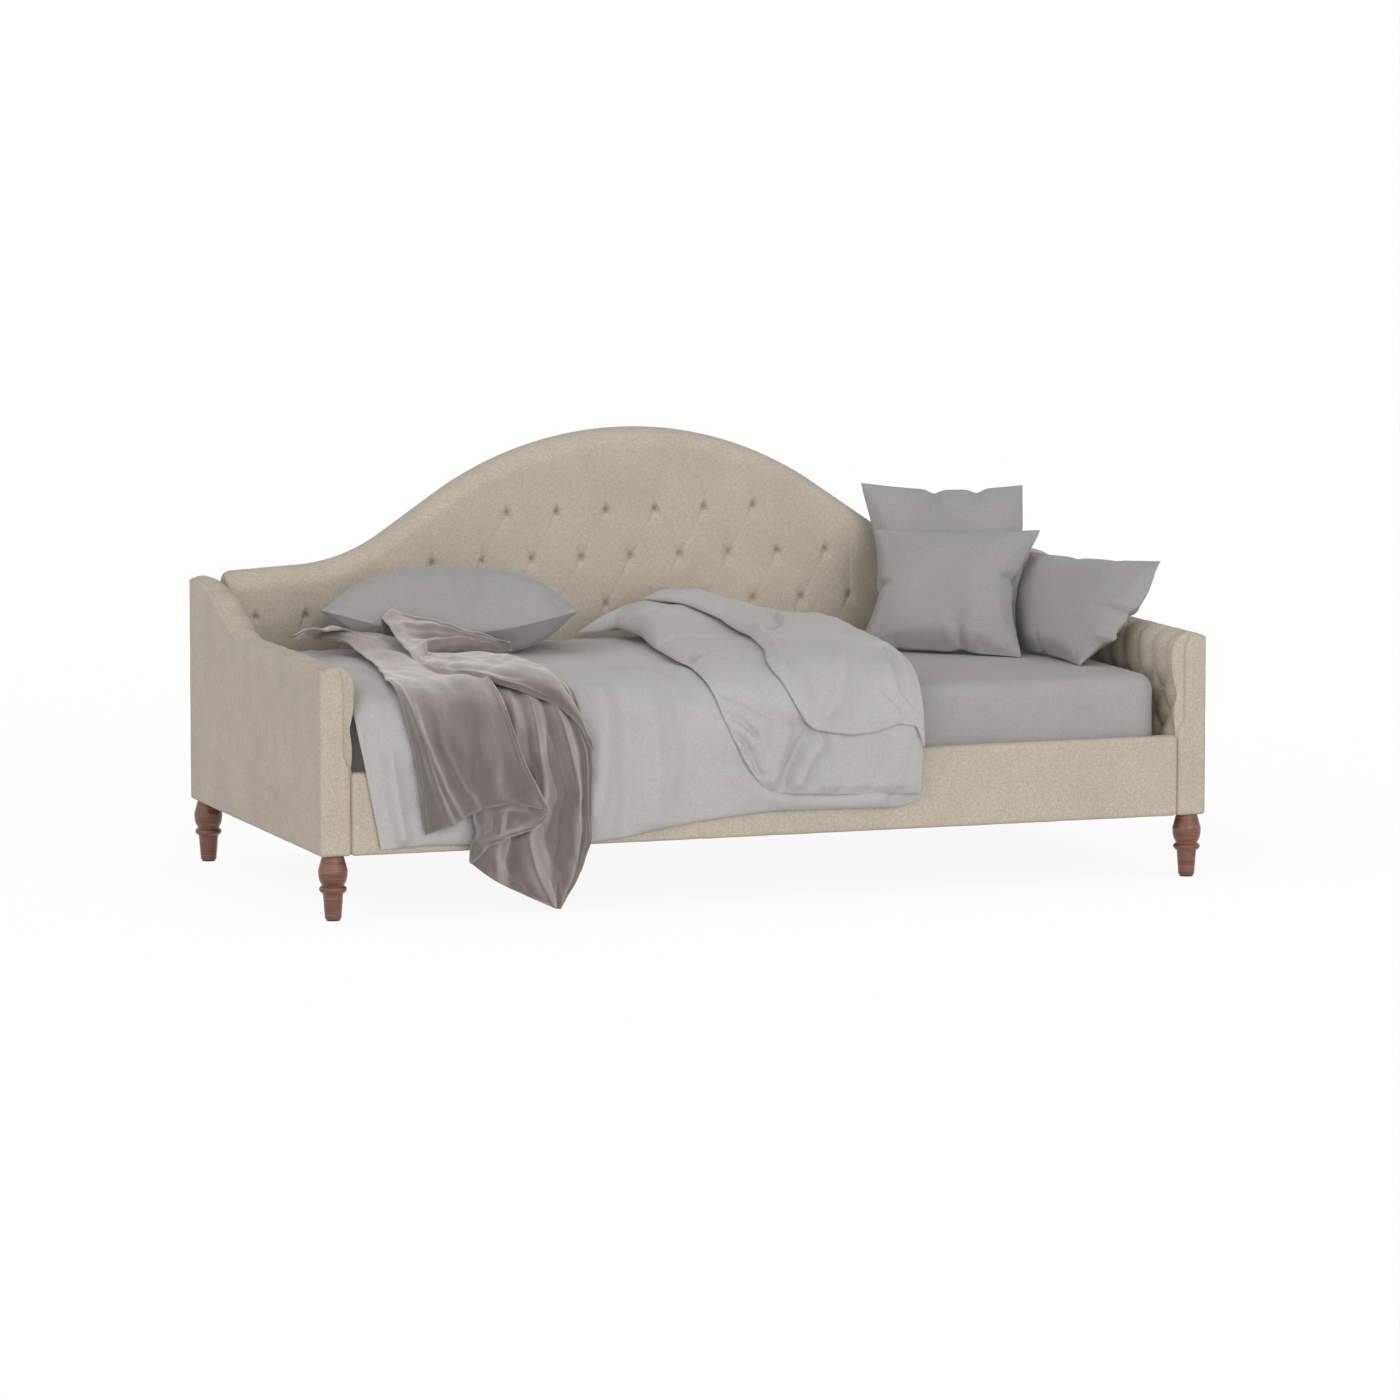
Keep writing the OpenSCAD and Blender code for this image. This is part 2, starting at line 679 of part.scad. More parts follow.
// Turned leg: bulb, neck, ring and a tapering shank
module leg() {
    bulb_z = leg_h - 32;
    neck_z = leg_h - 64;
    ring_z = leg_h - 74;
    ring_half = 7;
    shank_z = leg_h - 82;
    foot_round = 3;
    bulb_up = function(t) leg_top_r + (bulb_r - leg_top_r) * pow(sin(t), 0.7);
    difference() {
        rotate_extrude() polygon(concat(
            [[0, glide_t], [foot_r - foot_round, glide_t]],
            arc(foot_r - foot_round, glide_t + foot_round, foot_round, 270, 360, 4),
            [[shank_r, shank_z], [shank_r + 3, shank_z]],
            [for (t = [-60:20:80]) [ring_r - ring_half + ring_half * cos(t), ring_z + ring_half * sin(t)]],
            [[neck_r, neck_z]],
            [for (t = [15:15:90]) [neck_r + (bulb_r - neck_r) * sin(t), bulb_z - (bulb_z - neck_z - 3) * cos(t)]],
            [for (t = [75:-15:0]) [leg_top_r + (bulb_r - leg_top_r) * sin(t), leg_h - (leg_h - bulb_z) * sin(t) * 0.97 - 1]],
            [[leg_top_r - 1, leg_h], [0, leg_h]]));
        translate([0, 0, leg_h - leg_bolt_l / 2])
            cylinder(d = bolt_d + 2 * bolt_play, h = leg_bolt_l);
    }
}

module leg_at(side, end) {
    color(walnut) at_frame() translate([side * leg_x, end * leg_y, 0]) leg();
}

module each_leg(sides = [-1, 1]) {
    for (side = sides) for (end = [-1, 1]) translate([side * leg_x, end * leg_y, 0]) children();
}

module leg_glides() {
    color([0.25, 0.22, 0.2]) at_frame() each_leg() cylinder(r = foot_r - 3, h = glide_t);
}

module leg_bolt_set(play) {
    each_leg() translate([0, 0, leg_h - leg_bolt_l / 2])
        cylinder(d = bolt_d + 2 * play, h = leg_bolt_l);
}

module leg_bolts() {
    color(steel) at_frame() leg_bolt_set(0);
}

tee_flange_r = 11;
tee_flange_t = 1.5;
tee_barrel_r = 5.5;
tee_barrel_h = 12;

module leg_tee_nut_set(play) {
    each_leg() translate([0, 0, leg_h + cover_t - tee_flange_t]) {
        cylinder(r = tee_flange_r + play, h = tee_flange_t);
        cylinder(r = tee_barrel_r + play, h = tee_flange_t + tee_barrel_h);
    }
}

module leg_tee_nuts() {
    color(steel) at_frame() difference() {
        leg_tee_nut_set(0);
        leg_bolt_set(bolt_play / 4);
    }
}

// ---- Corner brackets and fasteners ----

bracket_z = ledger_z - 5 - bracket_h;
bracket_hole = bracket_w * 0.6;

// Puts the children, drawn at the right front corner, into all four inner corners
module each_corner() {
    for (side = [0, 1]) mirror([side, 0, 0]) {
        translate([inner_x, rail_inner_y, 0]) children();
        translate([inner_x, back_board_y, 0]) mirror([0, 1, 0]) children();
    }
}

module bracket_bolt_set(play) {
    head_h = 5;
    head_r = 6.5;
    each_corner() for (z = [bracket_z + bracket_h * 0.25, bracket_z + bracket_h * 0.75]) {
        translate([-bracket_t - head_h, bracket_hole, z]) rotate([0, 90, 0]) {
            cylinder(r = head_r, h = head_h);
            cylinder(d = bolt_d + 2 * play, h = head_h + bracket_t + bracket_bolt_l);
        }
        translate([-bracket_hole, bracket_t + head_h, z]) rotate([90, 0, 0]) {
            cylinder(r = head_r, h = head_h);
            cylinder(d = bolt_d + 2 * play, h = head_h + bracket_t + bracket_bolt_l);
        }
    }
}

module corner_brackets() {
    color(steel) at_frame() difference() {
        each_corner() {
            translate([-bracket_t, 0, bracket_z]) cube([bracket_t, bracket_w, bracket_h]);
            translate([-bracket_w, 0, bracket_z]) cube([bracket_w, bracket_t, bracket_h]);
        }
        bracket_bolt_set(bolt_play);
    }
}

module bracket_bolts() {
    color(steel) at_frame() bracket_bolt_set(0);
}

module ledger_screw_set(play) {
    grip = 14;
    spacing = 2 * (inner_x - bracket_w) / screw_count;
    for (k = [0:screw_count - 1]) {
        x = -inner_x + bracket_w + (k + 0.5) * spacing;
        translate([x, rail_inner_y + ledger, ledger_z + ledger / 2]) rotate([90, 0, 0])
            cylinder(d = screw_d + 2 * play, h = ledger + grip);
        translate([x, back_board_y - ledger, ledger_z + ledger / 2]) rotate([-90, 0, 0])
            cylinder(d = screw_d + 2 * play, h = ledger + grip);
    }
}

module ledger_screws() {
    color(steel) at_frame() ledger_screw_set(0);
}

// ---- Mattress and sheet ----

mattress_z = slat_top_z + strap_t;
mattress_play = 1;
mattress_l = 2 * inner_x - mattress_end_play;
mattress_w = frame_d - rail_t - back_t - mattress_back_play;
mattress_mid_y = rail_inner_y + mattress_play + sheet_t + mattress_w / 2;
sheet_top_z = mattress_z + mattress_h + sheet_t;

module mattress() {
    color("white") at_frame() translate([-mattress_shift, mattress_mid_y, mattress_z])
        padded_block(mattress_l, mattress_w, mattress_h, mattress_round);
}

module fitted_sheet() {
    tuck = 40;
    color(grey_cloth) at_frame() translate([-mattress_shift, mattress_mid_y, mattress_z]) difference() {
        padded_block(mattress_l + 2 * sheet_t, mattress_w + 2 * sheet_t, mattress_h + sheet_t, mattress_round + sheet_t);
        padded_block(mattress_l, mattress_w, mattress_h, mattress_round);
        translate([-mattress_l, -mattress_w, -1]) cube([2 * mattress_l, 2 * mattress_w, tuck]);
    }
}

// ---- Duvet and throw ----
// Each is a slab over the mattress that bends over its front edge and hangs before the
// rail, cut to its outline as seen from the front.

hang_play = 2;

// Slab that lies from low to high above the sheet and hangs from near to far before the
// rail; it reaches back to rear_y, where it rises by bunch
module drape(low, high, near, far, rear_y, bunch = 0) {
    lie = sheet_top_z;
    hang = front_y - hang_play;
    bend_y = rail_inner_y + 14;
    fall_z = rail_top_z + 14;
    // Line of a surface that lies up above the sheet and hangs out before the rail
    line = function(up, out) [
        [bend_y - 0.4 * out, lie + up],
        [rail_inner_y - 2 - 0.8 * out, lie - mattress_round + 0.8 * up],
        [hang - out, fall_z + 0.3 * out], [hang - out, 0]];
    outer = line(high, far);
    rotate([90, 0, 90]) translate([0, 0, -overall_w / 2]) linear_extrude(overall_w)
        polygon(concat([[rear_y, lie + low]], line(low, near), [for (k = [3:-1:0]) outer[k]],
            bunch > 0 ? [[rear_y / 3, lie + high + bunch / 2]] : [],
            [[rear_y - (high - low), lie + high + bunch], [rear_y, lie + (low + high + bunch) / 2]]));
}

// Keeps what lies inside an outline drawn in X and Z, both as shares: of the half width,
// and of the height of the sheet
module cut_to(outline) {
    intersection() {
        children();
        translate([0, frame_d, 0]) rotate([90, 0, 0]) linear_extrude(2 * frame_d)
            polygon([for (p = outline) [p[0] * half_w, p[1] * sheet_top_z]]);
    }
}

duvet_rear_y = 0.63 * back_y;
duvet_hang_t = hang_d - hang_play - duvet_fold_hang_t;

// The part turned back lies double: its lower layer, and a flap over that
flap_low = duvet_t + 0.55 * duvet_fold_t;
flap_near = duvet_hang_t + 0.55 * duvet_fold_hang_t;

module duvet() {
    color(light_grey_cloth) at_frame() {
        cut_to([[-0.925, 2], [-0.925, 1], [-0.872, 0.335], [-0.429, 0.324],
                [0, 0.427], [0.314, 0.421], [0.314, 2]])
            drape(0, duvet_t, 0, duvet_hang_t, duvet_rear_y);
        cut_to([[-0.13, 2], [-0.121, 0.889], [-0.031, 0.544], [0.025, 0.503], [0.327, 0.49], [0.339, 0.682], [0.335, 2]])
            drape(duvet_t - 1, flap_low, duvet_hang_t - 1, flap_near, 0.91 * duvet_rear_y);
        cut_to([[0.03, 2], [0.006, 1.08], [0.042, 0.948], [0.098, 0.807], [0.239, 0.814], [0.328, 0.71], [0.335, 2]])
            drape(flap_low - 1, duvet_t + duvet_fold_t, flap_near - 1, duvet_hang_t + duvet_fold_hang_t, duvet_rear_y, duvet_bunch);
    }
}

// Cloth gathered into a ridge over its path, whose places are on the bed with a height
module gathered(path, low) {
    for (k = [1:len(path) - 1]) hull() for (p = [path[k - 1], path[k]]) {
        translate([p[0], p[1], low]) cylinder(h = 1, r = 0.5 * (p[2] - low), $fn = 20);
        translate([p[0], p[1], p[2] - 0.4 * (p[2] - low)]) sphere(r = 0.4 * (p[2] - low), $fn = 20);
    }
}

module throw_blanket() {
    low = duvet_t + 1;
    near = duvet_hang_t + 1;
    color(taupe_cloth) at_frame() {
        cut_to([[-0.843, 2], [-0.839, 1.053], [-0.801, 0.622], [-0.782, 0.425], [-0.705, 0.486], [-0.7, 0.283],
                [-0.671, 0.183], [-0.584, 0.104], [-0.491, 0.035], [-0.425, 0.3], [-0.424, 0.803], [-0.442, 1.08], [-0.442, 2]])
            drape(low, low + throw_t, near, near + throw_t, 0.02 * back_y);
        // The ridge leans on the front of the pillow and runs out along the throw's free side
        gathered([on_bed(-0.665, 0.055, low + 97), on_bed(-0.575, -0.02, low + 80), on_bed(-0.5, -0.13, low + 55),
                on_bed(-0.47, -0.42, low + 33), on_bed(-0.48, -0.72, low + 25)], sheet_top_z + low + 1);
    }
}

// ---- Pillows and cushions ----

// Point of the bed at shares of its half width and half depth, above the sheet
function on_bed(across, deep, above) = [across * half_w, deep * back_y, sheet_top_z + above];

// Knife-edged cushion t thick between its corners, its sides drawn in between them
module cushion(low_left, low_right, top_left, top_right, t, pinch = 0.06) {
    n = 8;
    seam = 2;
    turn = cross(top_left - low_left + top_right - low_right, low_right - low_left + top_right - top_left);
    across = turn / norm(turn);
    side = function(u, v, s)
        let (a = u * (1 - pinch * (1 - v * v)), b = v * (1 - pinch * (1 - u * u)))
        ((1 - a) * (1 - b) * low_left + (1 + a) * (1 - b) * low_right
            + (1 - a) * (1 + b) * top_left + (1 + a) * (1 + b) * top_right) / 4
            + s * (seam + (t / 2 - seam) * pow((1 - u * u) * (1 - v * v), 0.45)) * across;
    at = function(k) 2 * k / n - 1;
    row = n + 1;
    count = row * row;
    points = [for (s = [-1, 1]) for (i = [0:n]) for (j = [0:n]) side(at(i), at(j), s)];
    skin = [for (s = [0, 1]) for (i = [0:n - 1]) for (j = [0:n - 1])
        let (a = s * count + i * row + j, b = a + row, c = b + 1, d = a + 1)
        each (s == 0 ? [[a, d, c], [a, c, b]] : [[a, b, c], [a, c, d]])];
    border = concat([for (i = [0:n - 1]) i * row], [for (j = [0:n - 1]) n * row + j],
        [for (i = [n:-1:1]) i * row + n], [for (j = [n:-1:1]) j]);
    wall = [for (k = [0:len(border) - 1])
        let (a = border[k], b = border[(k + 1) % len(border)])
        each [[a, b, b + count], [a, b + count, a + count]]];
    polyhedron(points, concat(skin, wall), convexity = 4);
}

module bed_pillow() {
    middle = duvet_t + 0.3 + pillow_t / 2;
    color(grey_cloth) at_frame()
        cushion(on_bed(-0.81, 0.267, middle), on_bed(-0.29, -0.12, middle),
            on_bed(-0.711, 0.8, middle), on_bed(-0.192, 0.417, middle), pillow_t, 0.04);
}

module back_cushion() {
    h = square_cushion_h;
    color(grey_cloth) at_frame()
        cushion(on_bed(0.487, 0.549, 0.0027 * h), on_bed(0.83, 0.31, 0.0027 * h),
            on_bed(0.545, 0.81, 0.927 * h), on_bed(0.888, 0.571, 0.915 * h), cushion_t);
}

module front_cushion() {
    h = low_cushion_h;
    color(grey_cloth) at_frame()
        cushion(on_bed(0.474, 0.375, 0.03 * h), on_bed(0.744, -0.126, 0.0038 * h),
            on_bed(0.534, 0.568, 0.907 * h), on_bed(0.828, 0.067, 0.95 * h), cushion_t);
}

module side_cushion() {
    h = low_cushion_h;
    color(grey_cloth) at_frame()
        cushion(on_bed(0.8, 0.114, 0.0039 * h), on_bed(0.805, -0.51, 0.0039 * h),
            on_bed(0.836, 0.175, 0.763 * h), on_bed(0.982, -0.571, 0.79 * h), 0.9 * cushion_t);
}

back_bottom_rail();
back_top_rail();
back_posts();
back_board();
back_pad();
back_buttons();
back_cover();
left_arm_bottom_rail();
left_arm_top_rail();
left_arm_posts();
left_arm_board();
left_arm_pad();
left_arm_buttons();
left_arm_cover();
arm_bottom_rail();  // right_arm_bottom_rail
arm_top_rail();  // right_arm_top_rail
arm_posts();  // right_arm_posts
arm_board();  // right_arm_board
arm_pad();  // right_arm_pad
arm_buttons();  // right_arm_buttons
arm_cover();  // right_arm_cover
front_rail_board();
front_rail_cover();
front_ledger();
back_ledger();
ledger_screws();
slat_straps();
leg_at(-1, -1);  // leg_front_left
leg_at(1, -1);  // leg_front_right
leg_at(-1, 1);  // leg_back_left
leg_at(1, 1);  // leg_back_right
leg_glides();
leg_bolts();
leg_tee_nuts();
corner_brackets();
bracket_bolts();
mattress();
fitted_sheet();
duvet();
throw_blanket();
bed_pillow();
back_cushion();
front_cushion();
side_cushion();
for (k = [1:slat_count]) slat(k);
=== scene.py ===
import math

import bpy
import numpy as np
from mathutils import Matrix, Vector, noise


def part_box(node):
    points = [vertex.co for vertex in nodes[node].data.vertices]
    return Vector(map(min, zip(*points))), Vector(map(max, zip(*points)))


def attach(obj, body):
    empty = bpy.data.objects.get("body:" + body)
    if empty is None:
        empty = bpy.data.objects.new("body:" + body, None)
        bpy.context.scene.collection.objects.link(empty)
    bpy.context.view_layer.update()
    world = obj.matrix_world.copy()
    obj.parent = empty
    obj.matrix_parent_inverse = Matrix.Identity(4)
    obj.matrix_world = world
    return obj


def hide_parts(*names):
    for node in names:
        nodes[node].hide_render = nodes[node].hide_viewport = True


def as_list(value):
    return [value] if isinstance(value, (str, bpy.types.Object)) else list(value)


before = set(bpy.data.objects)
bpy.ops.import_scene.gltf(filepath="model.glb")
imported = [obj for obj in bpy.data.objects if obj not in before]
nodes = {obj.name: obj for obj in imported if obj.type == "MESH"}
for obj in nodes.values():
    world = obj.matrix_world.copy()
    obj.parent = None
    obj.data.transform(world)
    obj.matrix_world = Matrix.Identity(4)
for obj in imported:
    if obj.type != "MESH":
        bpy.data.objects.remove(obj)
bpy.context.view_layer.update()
bpy.ops.object.select_all(action="DESELECT")
noise.seed_set(5)                         # so that cloth wanders the same way in every run


# ---- Camera ----
# A long portrait lens stands to the front left, a little above the bed, and looks
# slightly down.

lens = bpy.data.cameras.new("portrait_lens")
lens.lens = 187.73
lens.sensor_width = 36
lens.clip_start = 1
lens.clip_end = 400
camera = bpy.data.objects.new("camera", lens)
camera.location = (-5.5978, -15.6025, 2.3707)
camera.rotation_euler = (math.radians(90 - 6.8068), 0, math.radians(-19.7506))
bpy.context.collection.objects.link(camera)
bpy.context.scene.camera = camera
bpy.context.scene.view_settings.view_transform = "Standard"


# ---- Studio floor and light ----
# A seamless white floor under a pale, even sky, with a broad soft key light from the
# front and a wide fill from the left. The camera sees floor and sky as white, and the
# floor keeps the shadow.

def paint(code):
    """Turns an sRGB hex colour to the linear values that a shader takes."""
    parts = [int(code[k:k + 2], 16) / 255 for k in (1, 3, 5)]
    return [p / 12.92 if p <= 0.04045 else ((p + 0.055) / 1.055) ** 2.4 for p in parts] + [1]


def feed(tree, node, inputs):
    """Gives each of a node's inputs a plain value, another node's output, or its first one."""
    for name, value in inputs.items():
        if isinstance(value, bpy.types.Node):
            value = value.outputs[0]
        if isinstance(value, bpy.types.NodeSocket):
            tree.links.new(value, node.inputs[name])
        else:
            node.inputs[name].default_value = value


def add(tree, kind, inputs=None, **settings):
    """Adds a shader node with its settings and inputs."""
    made = tree.nodes.new("ShaderNode" + kind)
    for name, value in settings.items():
        setattr(made, name, value)
    feed(tree, made, inputs or {})
    return made


def seen_directly(tree):
    """1 for the rays that should find plain white: the camera's, mirrored and clear ones."""
    path = add(tree, "LightPath").outputs
    seen = add(tree, "Math", {0: path["Is Camera Ray"], 1: path["Is Glossy Ray"]}, operation="MAXIMUM")
    return add(tree, "Math", {0: seen, 1: path["Is Transmission Ray"]}, operation="MAXIMUM")


sky = bpy.data.worlds.new("studio_sky")
sky.use_nodes = True
sky_tree = sky.node_tree
sky_tree.nodes.clear()
sky_light = add(sky_tree, "Background", {"Color": paint("#ffffff"), "Strength": 0.46})
sky_white = add(sky_tree, "Background", {"Color": paint("#ffffff"), "Strength": 1.0})
sky_mix = add(sky_tree, "MixShader", {0: seen_directly(sky_tree), 1: sky_light, 2: sky_white})
add(sky_tree, "OutputWorld", {"Surface": sky_mix})
bpy.context.scene.world = sky

lamps = (("soft_key", 1.27, 50, (0.12, -0.97, 0.20)), ("wide_fill", 0.82, 70, (-0.84, -0.44, 0.30)))
for lamp_name, energy, angle, towards in lamps:
    lamp = bpy.data.lights.new(lamp_name, "SUN")
    lamp.energy = energy
    lamp.angle = math.radians(angle)
    lamp_object = bpy.data.objects.new(lamp_name, lamp)
    lamp_object.rotation_euler = Vector(towards).to_track_quat("Z", "Y").to_euler()
    bpy.context.collection.objects.link(lamp_object)

bpy.ops.mesh.primitive_plane_add(size=600, location=(0, 0, -0.0004))
floor = bpy.context.object
floor.name = "studio_floor"
# Matt white vinyl: what is seen directly is mostly glow, so that only a faint shadow stays
vinyl = bpy.data.materials.new("white_studio_vinyl")
vinyl.use_nodes = True
vinyl_tree = vinyl.node_tree
vinyl_tree.nodes.clear()
vinyl_matt = add(vinyl_tree, "BsdfDiffuse", {"Color": paint("#f4f4f4")})
vinyl_glow = add(vinyl_tree, "Emission", {"Color": paint("#ffffff"), "Strength": 1.06})
vinyl_share = add(vinyl_tree, "Math", {0: seen_directly(vinyl_tree), 1: 0.86}, operation="MULTIPLY")
vinyl_mix = add(vinyl_tree, "MixShader", {0: vinyl_share, 1: vinyl_matt, 2: vinyl_glow})
add(vinyl_tree, "OutputMaterial", {"Surface": vinyl_mix})
floor.data.materials.append(vinyl)


# ---- Linen upholstery ----
# Oatmeal linen-look cloth, plain woven from slubby yarn and steamed to a soft nap. It is
# matt, flecked with paler yarn, and a little uneven in colour from bolt to bolt.

def new_material(name):
    """A material with its tree, its shader and the object's own coordinates."""
    made = bpy.data.materials.new(name)
    made.use_nodes = True
    tree = made.node_tree
    return made, tree, tree.nodes["Principled BSDF"], add(tree, "TexCoord").outputs["Object"]


def tinted(tree, colour, *textures):
    """A colour made lighter and darker by textures, each with its lowest and highest share."""
    total = None
    for (source, low, high) in textures:
        share = add(tree, "MapRange", {"Value": source, "From Min": 0.3, "From Max": 0.7,
                                       "To Min": low, "To Max": high})
        if total is None:
            total = share
        else:
            total = add(tree, "Math", {0: total, 1: share}, operation="MULTIPLY")
    return add(tree, "VectorMath", {0: paint(colour)[:3], "Scale": total}, operation="SCALE")


linen, tree, shader, place = new_material("oatmeal_linen_cloth")
# Single yarns of 0.6 mm don't show, so the fleck is drawn at 2 mm and the slubs at 8 mm
fleck = add(tree, "TexNoise", {"Vector": place, "Scale": 520.0, "Detail": 2.0, "Roughness": 0.6})
weave = fleck
slubs = []
for stretch in ((1.0, 1.0, 0.22), (0.22, 0.22, 1.0)):
    run = add(tree, "Mapping", {"Vector": place, "Scale": stretch})
    slub = add(tree, "TexNoise", {"Vector": run, "Scale": 430.0, "Detail": 1.0})
    slubs.append((slub, 0.93, 1.07))
    weave = add(tree, "Math", {0: weave, 1: slub}, operation="MULTIPLY")
cloud = add(tree, "TexNoise", {"Vector": place, "Scale": 9.0, "Detail": 3.0, "Roughness": 0.55})
feed(tree, shader, {
    "Base Color": tinted(tree, "#c5baab", (fleck, 0.82, 1.18), *slubs, (cloud, 0.95, 1.05)),
    "Normal": add(tree, "Bump", {"Height": weave, "Strength": 0.5, "Distance": 0.0018}),
    "Roughness": 0.95, "Specular IOR Level": 0.2, "Sheen Weight": 0.08, "Sheen Roughness": 0.5})


# ---- Tufted back ----
# The back is a camelback board under thick foam, tufted in tall diamonds. Buttons pull
# the cloth down to the board, creases run between them, and pleats run over the top edge.

def new_object(name, points, faces):
    mesh = bpy.data.meshes.new(name)
    mesh.from_pydata(points, [], faces)
    mesh.update()
    made = bpy.data.objects.new(name, mesh)
    bpy.context.collection.objects.link(made)
    return made


def surface(name, rings):
    """A closed mesh of quads around and between rings of points, capped at both ends."""
    rings = np.asarray(rings, dtype=float)
    count, width = rings.shape[:2]
    a = np.arange(count - 1)[:, None] * width
    b = np.arange(width)[None, :]
    c = (b + 1) % width
    quads = np.stack([a + b, a + c, a + width + c, a + width + b], axis=-1).reshape(-1, 4)
    faces = [tuple(q) for q in quads.tolist()]
    faces.append(tuple(range(width))[::-1])
    faces.append(tuple((count - 1) * width + k for k in range(width)))
    return new_object(name, rings.reshape(-1, 3).tolist(), faces)


def smooth(t):
    """An even ramp from 0 to 1, without a kink at its ends."""
    t = np.clip(t, 0, 1)
    return t * t * (3 - 2 * t)


def arc(a, b, reach, start, end, steps):
    """Points (a, b) on an arc about a centre, in degrees. Reach holds its radius, or one each
    for a and b."""
    turns = np.radians(np.linspace(start, end, steps))
    return [(a + reach[0] * math.cos(t), b + reach[-1] * math.sin(t)) for t in turns]


def finish(made, material, slot, *stands_for, angle=40):
    """Turns the faces outwards, shades them smoothly, gives them their cloth, and puts the
    piece in the place of the CAD nodes that it stands for."""
    bpy.ops.object.select_all(action="DESELECT")
    made.select_set(True)
    bpy.context.view_layer.objects.active = made
    bpy.ops.object.mode_set(mode="EDIT")
    bpy.ops.mesh.select_all(action="SELECT")
    bpy.ops.mesh.normals_make_consistent(inside=False)
    bpy.ops.object.mode_set(mode="OBJECT")
    bpy.ops.object.shade_smooth_by_angle(angle=math.radians(angle))
    made.data.materials.clear()
    made.data.materials.append(material)
    made.select_set(False)
    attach(made, "root")
    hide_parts(*stands_for)


def tufted_field(us, vs, knots, creases, crease_rise, crease_fade, swell, soft, steps=500):
    """Height of foam held down along its creases and at its buttons: a blown-up skin on a
    regular grid of us by vs, its creases rounded away from the buttons by soft passes."""
    skin_r, bulge_r, rounding_r = 0.05, 0.053, 0.018
    u, v = np.meshgrid(us, vs, indexing="ij")
    near_knot = np.full(u.shape, 1e9)
    for k in knots:
        near_knot = np.minimum(near_knot, np.hypot(u - k[0], v - k[1]))
    near_crease = np.full(u.shape, 1e9)
    for (u0, v0, u1, v1) in creases:
        du, dv = u1 - u0, v1 - v0
        along = np.clip(((u - u0) * du + (v - v0) * dv) / (du ** 2 + dv ** 2), 0, 1)
        near_crease = np.minimum(near_crease, np.hypot(u - u0 - along * du, v - v0 - along * dv))
    step = us[1] - us[0]
    held = near_crease < 0.55 * step
    floor_height = crease_rise * (1 - np.exp(-(near_knot / crease_fade) ** 2))
    reach = np.minimum(near_crease, skin_r) / skin_r
    height = np.where(held, floor_height, swell * (1 - (1 - reach) ** 2))
    load = swell * 3.4 * step ** 2 / bulge_r ** 2 / 4
    for k in range(steps + soft):
        padded = np.pad(height, 1, mode="edge")
        mean = (padded[:-2, 1:-1] + padded[2:, 1:-1] + padded[1:-1, :-2] + padded[1:-1, 2:]) / 4
        if k < steps:
            height = np.where(held, floor_height, mean + load)
        else:
            height = height + (mean - height) * (1 - np.exp(-(near_knot / rounding_r) ** 2))
    return height, near_knot, near_crease


def sample(field, us, vs, u, v):
    """The field's height at any places, between the knots of its grid."""
    a = np.clip((np.asarray(u) - us[0]) / (us[1] - us[0]), 0, len(us) - 1.001)
    b = np.clip((np.asarray(v) - vs[0]) / (vs[1] - vs[0]), 0, len(vs) - 1.001)
    i, j = a.astype(int), b.astype(int)
    p, q = a - i, b - j
    return (field[i, j] * (1 - p) * (1 - q) + field[i + 1, j] * p * (1 - q)
            + field[i, j + 1] * (1 - p) * q + field[i + 1, j + 1] * p * q)


back_low, back_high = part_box("back_pad")
back_half = back_high[0]
back_foot = back_low[2]
back_board_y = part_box("back_board")[0][1]
back_rear_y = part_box("back_cover")[1][1] - 0.006
crest_y = back_rear_y - 0.033
face_y = back_low[1]                      # crowns of the tufts
back_puff = 0.015
tuft_x, tuft_z, tuft_base = 0.122, 0.110, 0.458

hump_r, hump_slope, hump_run = 0.840, math.radians(34), 0.157
hollow_r, shoulder_slope = 0.393, math.radians(2.9)
back_height = back_high[2]
hump_x = hump_r * math.sin(hump_slope)
hump_z = back_height - hump_r * (1 - math.cos(hump_slope))
hollow_x = hump_x + hump_run * math.cos(hump_slope)
hollow_mid_x = hollow_x + hollow_r * math.sin(hump_slope)
hollow_mid_z = hump_z - hump_run * math.sin(hump_slope) + hollow_r * math.cos(hump_slope)
shoulder_x = hollow_mid_x - hollow_r * math.sin(shoulder_slope)
shoulder_z = hollow_mid_z - hollow_r * math.cos(shoulder_slope)


def back_top(x):
    """Height of the camelback's top edge."""
    d = np.abs(np.asarray(x, dtype=float))
    hump = back_height - hump_r + np.sqrt(np.maximum(hump_r ** 2 - np.minimum(d, hump_x) ** 2, 0))
    slope = hump_z - (d - hump_x) * math.tan(hump_slope)
    aside = np.clip(hollow_mid_x - d, 0, hollow_r)
    hollow = hollow_mid_z - np.sqrt(np.maximum(hollow_r ** 2 - aside ** 2, 0))
    shoulder = shoulder_z - (d - shoulder_x) * math.tan(shoulder_slope)
    return np.select([d < hump_x, d < hollow_x, d < shoulder_x], [hump, slope, hollow], shoulder)


back_knots = [(i, j) for i in range(-15, 16) for j in range(0, 4)
              if (i - j) % 2 == 0 and tuft_base + j * tuft_z <= back_top(i * tuft_x / 2) - 0.1]
back_creases = []
for (i, j) in back_knots:
    x, z = i * tuft_x / 2, tuft_base + j * tuft_z
    for (m, n) in ((i - 1, j + 1), (i + 1, j + 1)):
        if (m, n) in back_knots:
            back_creases.append((x, z, m * tuft_x / 2, tuft_base + n * tuft_z))
    if j == 0:
        back_creases.append((x, z, x, back_foot - 0.05))
    if (i, j + 2) not in back_knots and not ((i - 1, j + 1) in back_knots and (i + 1, j + 1) in back_knots):
        back_creases.append((x, z, x, back_height))
us = np.linspace(-back_half, back_half, 645)
vs = np.arange(back_foot - 0.01, back_height + 0.01, us[1] - us[0])
